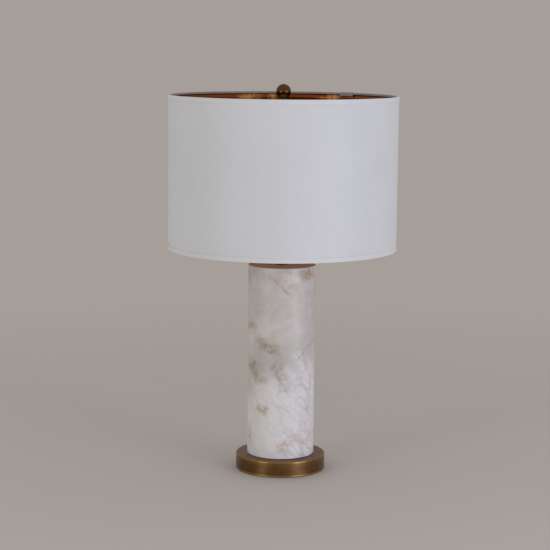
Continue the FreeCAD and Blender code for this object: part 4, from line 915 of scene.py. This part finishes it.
bead = arc((WIRE_LINE, WIRE_DEPTH), WIRE + SNUG + TAPE_THICK, 75, 178)
edge_arc = arc((TAPE_RADIUS - EDGE_ROUND, EDGE_DEPTH), EDGE_ROUND, 0, 75)
foot = [(bead[-1, 0] + FOOT_LEAN, TAPE_INSIDE)]
tape_line = even_line(np.concatenate([[(TAPE_RADIUS, TAPE_OUTSIDE)], edge_arc, bead, foot]))
TAPE_LENGTH = float(np.hypot(*np.diff(tape_line, axis=0).T).sum())
over_wire = float(np.argmax(tape_line[:, 0] < WIRE_LINE)) / len(tape_line) * TAPE_LENGTH


def folded_tape(name, rim, direction, slit, seed):
    """The tape round a rim at a height; direction is -1 where the drum is below the rim."""
    turn = np.linspace(0, 2 * math.pi, 420, endpoint=False)
    close = np.radians(np.linspace(-1.4, 1.4, 15)) if slit else np.zeros(0)
    beside_arms = (ARM_ANGLES[:, None] + close[None, :]).ravel()
    angle = np.unique(np.concatenate([turn, beside_arms]) % (2 * math.pi))
    wander = ripple(angle[:, None], np.zeros((1, 1)), WANDER, (4, 7, 17, 41), seed)[:, 0]
    start = MARGIN + wander
    end = TAPE_LENGTH - MARGIN + wander[::-1]
    if slit:
        end = end + (over_wire - end) * nearness(angle, ARM_ANGLES, SLIT)
    loops, lengths = folded(tape_line, start, end)
    puff = ripple(angle[:, None], loops[..., 1] * 40, PUFF, (9, 23, 37), seed + 1)
    points = around(loops[..., 0] - np.abs(puff), rim + direction * loops[..., 1], angle[:, None])
    round_rim = np.append(angle, angle[0] + 2 * math.pi) * TAPE_RADIUS
    along = np.append(lengths[0], lengths[0, 0])
    flat = np.stack(np.meshgrid(round_rim, along, indexing="ij"), axis=-1)
    tape = surface(name, points, flat)
    dress(tape, tape_cloth, "shade", "shade_trim")
    return tape


top_tape = folded_tape("top_tape", rim_top, -1, True, 21)
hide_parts("top_trim")
bottom_tape = folded_tape("bottom_tape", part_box("bottom_trim")[0][2], 1, False, 31)
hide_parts("bottom_trim")
print("tape", round(TAPE_LENGTH * 1000, 1), "mm wide, round a wire of", round(WIRE * 2000, 1), "mm")

# %% [markdown]
# ## The tape's lapped end
# Where the tape's two ends meet, one lies over the other, inside the upper rim at the back. It
# hangs a few millimetres lower than the rest, and its lower edge is cut in a shallow arch. The
# same folding function makes it. Its first and last loops are pressed to a line, which is welded.

# %% Lapped end
HAIR = 0.0001
LAP_OUT, LAP_ARCH, LAP_FLARE = 0.0004, 0.0012, 0.0003
lap_depth = rim_top - lap_low[2]
lap_bead = arc((WIRE_LINE, WIRE_DEPTH), WIRE + HAIR + 2 * TAPE_THICK, 120, 185)
lap_line = even_line(np.concatenate([lap_bead, [(WIRE_LINE - WIRE - LAP_OUT, lap_depth)]]))
lap_length = float(np.hypot(*np.diff(lap_line, axis=0).T).sum())
across = np.linspace(-1, 1, 45)
lap_angle = SEAM + (LAP_TO - LAP_FROM) / 2 * across
arch = HAIR + LAP_ARCH * (1 - across**2)
lap_start = np.full(len(across), HAIR)
loops, lengths = folded(lap_line, lap_start, lap_length - arch, columns=24)
loops[[0, -1]] = (loops[[0, -1]] + loops[[0, -1]][:, ::-1]) / 2
loops[..., 0] -= LAP_FLARE * (loops[..., 1] / lap_depth) ** 3 * across[:, None] ** 2
lap_points = around(loops[..., 0], rim_top - loops[..., 1], lap_angle[:, None])
lap_along = np.hstack([lengths, lengths[:, :1]])
lap_round = np.broadcast_to(lap_angle[:, None] * TAPE_RADIUS, lap_along.shape)
lap_flat = np.stack([lap_round, lap_along], axis=-1)
tape_lap = surface("tape_lap", lap_points, lap_flat, wrap=(False, True))
# Its cloth carries the mauve painted shade of the inner fold.
dress(tape_lap, lap_cloth, "shade", "shade_trim", "trim_lap")
print("lap hangs to", round(lap_depth * 1000, 1), "mm below the rim")

# %% [markdown]
# ## Felt under the base
# The pad is a disc of wool felt. Its profile goes from the middle of the underside, round the edge
# and back to the middle of the top, and it is turned round the axis. The cut edge is fuzzy: small
# quick waves move it in and out. Felt's matt look is tangled fibre, so its finish is bent noise.

# %% Felt pad
felt = Finish("wool_felt")
spot = felt.place()
fibres = felt.noise(spot, 900, 4, 0.7, 2.5)
matting = felt.noise(spot, 110, 3, 0.6)
tangle = fibres * 0.6 + matting * 0.4
felt_cloth = felt.shade(
    Base_Color=felt.mix(tangle, (0.022, 0.020, 0.018, 1), (0.085, 0.078, 0.068, 1)),
    Roughness=0.9 + matting * 0.05,
    Sheen_Weight=0.4,
    Normal=felt.bump(fibres, 0.0003, 0.8),
)
pad_low, pad_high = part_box("felt_pad")
pad_thick = pad_high[2] - pad_low[2]
pad_angle = np.linspace(0, 2 * math.pi, 360, endpoint=False)[:, None]
edge = np.linspace(0, math.pi, 9)
outward, inward = np.linspace(0, 0.97, 9), np.linspace(0.97, 0, 9)
reach = np.concatenate([outward, 0.985 + 0.015 * np.sin(edge), inward])[None, :]
height = np.concatenate([np.zeros(9), (1 - np.cos(edge)) / 2, np.ones(9)])[None, :]
FUZZ = 0.0003
fuzz = ripple(pad_angle, np.zeros((1, 1)), FUZZ, (31, 53, 89, 131), 8) * reach**12
pad_points = around(pad_high[0] * reach - FUZZ + fuzz, pad_low[2] + pad_thick * height, pad_angle)
pad_points[:, [0, -1], :2] = 0
felt_disc = surface("felt_disc", pad_points, wrap=(True, False))
dress(felt_disc, felt_cloth, "stand", "felt", "felt_pad")
print("felt", round(2000 * pad_high[0], 1), "mm across,", round(pad_thick * 1000, 1), "mm thick")

# %% [markdown]
# ## Rolled threads
# The bulb's cap and the shell that it screws into are thin metal, rolled into a round thread of
# seven turns to the inch. The radius is a wave of the height less the turn, so it climbs one pitch
# each time round, and both pieces use the same wave, so they mesh and stay meshed as the bulb
# turns. The wave fades at the ends, where the sheet is plain.

# %% Threads
THREAD_PITCH = 0.0254 / 7
THREAD_WAVE = 0.0004
THREAD_WALL = 0.0003
THREAD_CLEAR = 0.00003
THREAD_FADE = 0.0012


def rolled_thread(name, node, plain_ends, body):
    """A thin tube with a plain part at each end.

    The radius is the crest's, less the wave times one minus the cosine of the turns climbed less
    the turn round. The inner layer is a wall further in.
    """
    low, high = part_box(node)
    turn = np.linspace(0, 2 * math.pi, 96, endpoint=False)[:, None]
    rise = np.linspace(low[2], high[2], 110)[None, :]
    from_end = np.minimum(rise - low[2] - plain_ends[0], high[2] - plain_ends[1] - rise)
    fade = np.clip(from_end / THREAD_FADE, 0, 1)
    wave = THREAD_WAVE * (1 - np.cos(2 * math.pi * rise / THREAD_PITCH - turn)) * fade
    outer = around(high[0] - THREAD_CLEAR - wave, rise, turn)
    inner = around(high[0] - THREAD_CLEAR - wave - THREAD_WALL, rise, turn)[:, ::-1]
    piece = surface(name, np.concatenate([outer, inner], axis=1))
    dress(piece, finishes["bright"], body, "thread_metal", node)


rolled_thread("threaded_cap", "bulb_cap", (0.0, 0.004), "bulb")
rolled_thread("threaded_shell", "socket_screw_shell", (0.001, 0.001), "stand")
print("thread pitch", round(THREAD_PITCH * 1000, 2), "mm")

# %% [markdown]
# ## The switch knob
# The knob is moulded with ribs for the fingers. Its profile is turned round its own axis, which
# points to the front. Along the wide part its radius is the profile's, less a small share that
# follows the size of a sine of the turn, so it dips between one rib and the next.

# %% Switch knob
knob_low, knob_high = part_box("switch_knob")
shaft_low, shaft_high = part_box("switch_shaft")
KNOB_RADIUS = (knob_high[0] - knob_low[0]) / 2
knob_middle = (knob_high[2] + knob_low[2]) / 2
shaft_radius = (shaft_high[0] - shaft_low[0]) / 2
near, far = knob_high[1], knob_low[1]
WAIST, BEVEL = 0.0038, 0.0008
RIBS, RIB_SHARE = 20, 0.07
waist_end = near - 0.005
grip = waist_end - BEVEL + np.linspace(0.1, 1, 10) * (far + 0.002 - waist_end)
profile = np.array([
    (0, shaft_low[1]), (shaft_radius, shaft_low[1]), (shaft_radius, near),
    (WAIST - 0.0002, near), (WAIST, near - 0.0002), (WAIST, waist_end),
    (KNOB_RADIUS - BEVEL, waist_end), (KNOB_RADIUS, waist_end - BEVEL),
    *((KNOB_RADIUS, place) for place in grip),
    (KNOB_RADIUS - 0.0003, far + 0.0005), (KNOB_RADIUS - 0.0012, far),
    (KNOB_RADIUS * 0.5, far), (0, far),
])
turn = np.linspace(0, 2 * math.pi, 240, endpoint=False)[:, None]
ribbed = np.clip((profile[:, 0] - WAIST) / BEVEL - 0.5, 0, 1)[None, :]
dips = np.abs(np.sin(RIBS / 2 * turn)) ** 0.6
radius = profile[None, :, 0] * (1 - RIB_SHARE * ribbed * dips)
length = np.broadcast_to(profile[None, :, 1], radius.shape)
sideways, upright = radius * np.cos(turn), knob_middle + radius * np.sin(turn)
knob_points = np.stack([sideways, length, upright], axis=-1)
ribbed_knob = surface("ribbed_knob", knob_points, wrap=(True, False))
dress(ribbed_knob, finishes["glossy"], "switch", "knob_black", "switch_knob")
print("knob", round(2000 * KNOB_RADIUS, 1), "mm across")

# %% [markdown]
# The new pieces have to fill the same room as the CAD model. So the box of everything is written
# down beside the box that was taken at the start, before any piece was replaced, and the scene is
# finished.

visual_box = [list(corner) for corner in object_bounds()]
difference = np.subtract(visual_box, cad_box) * 1000
print("size against the CAD box", np.round(difference, 2).tolist(), "mm")
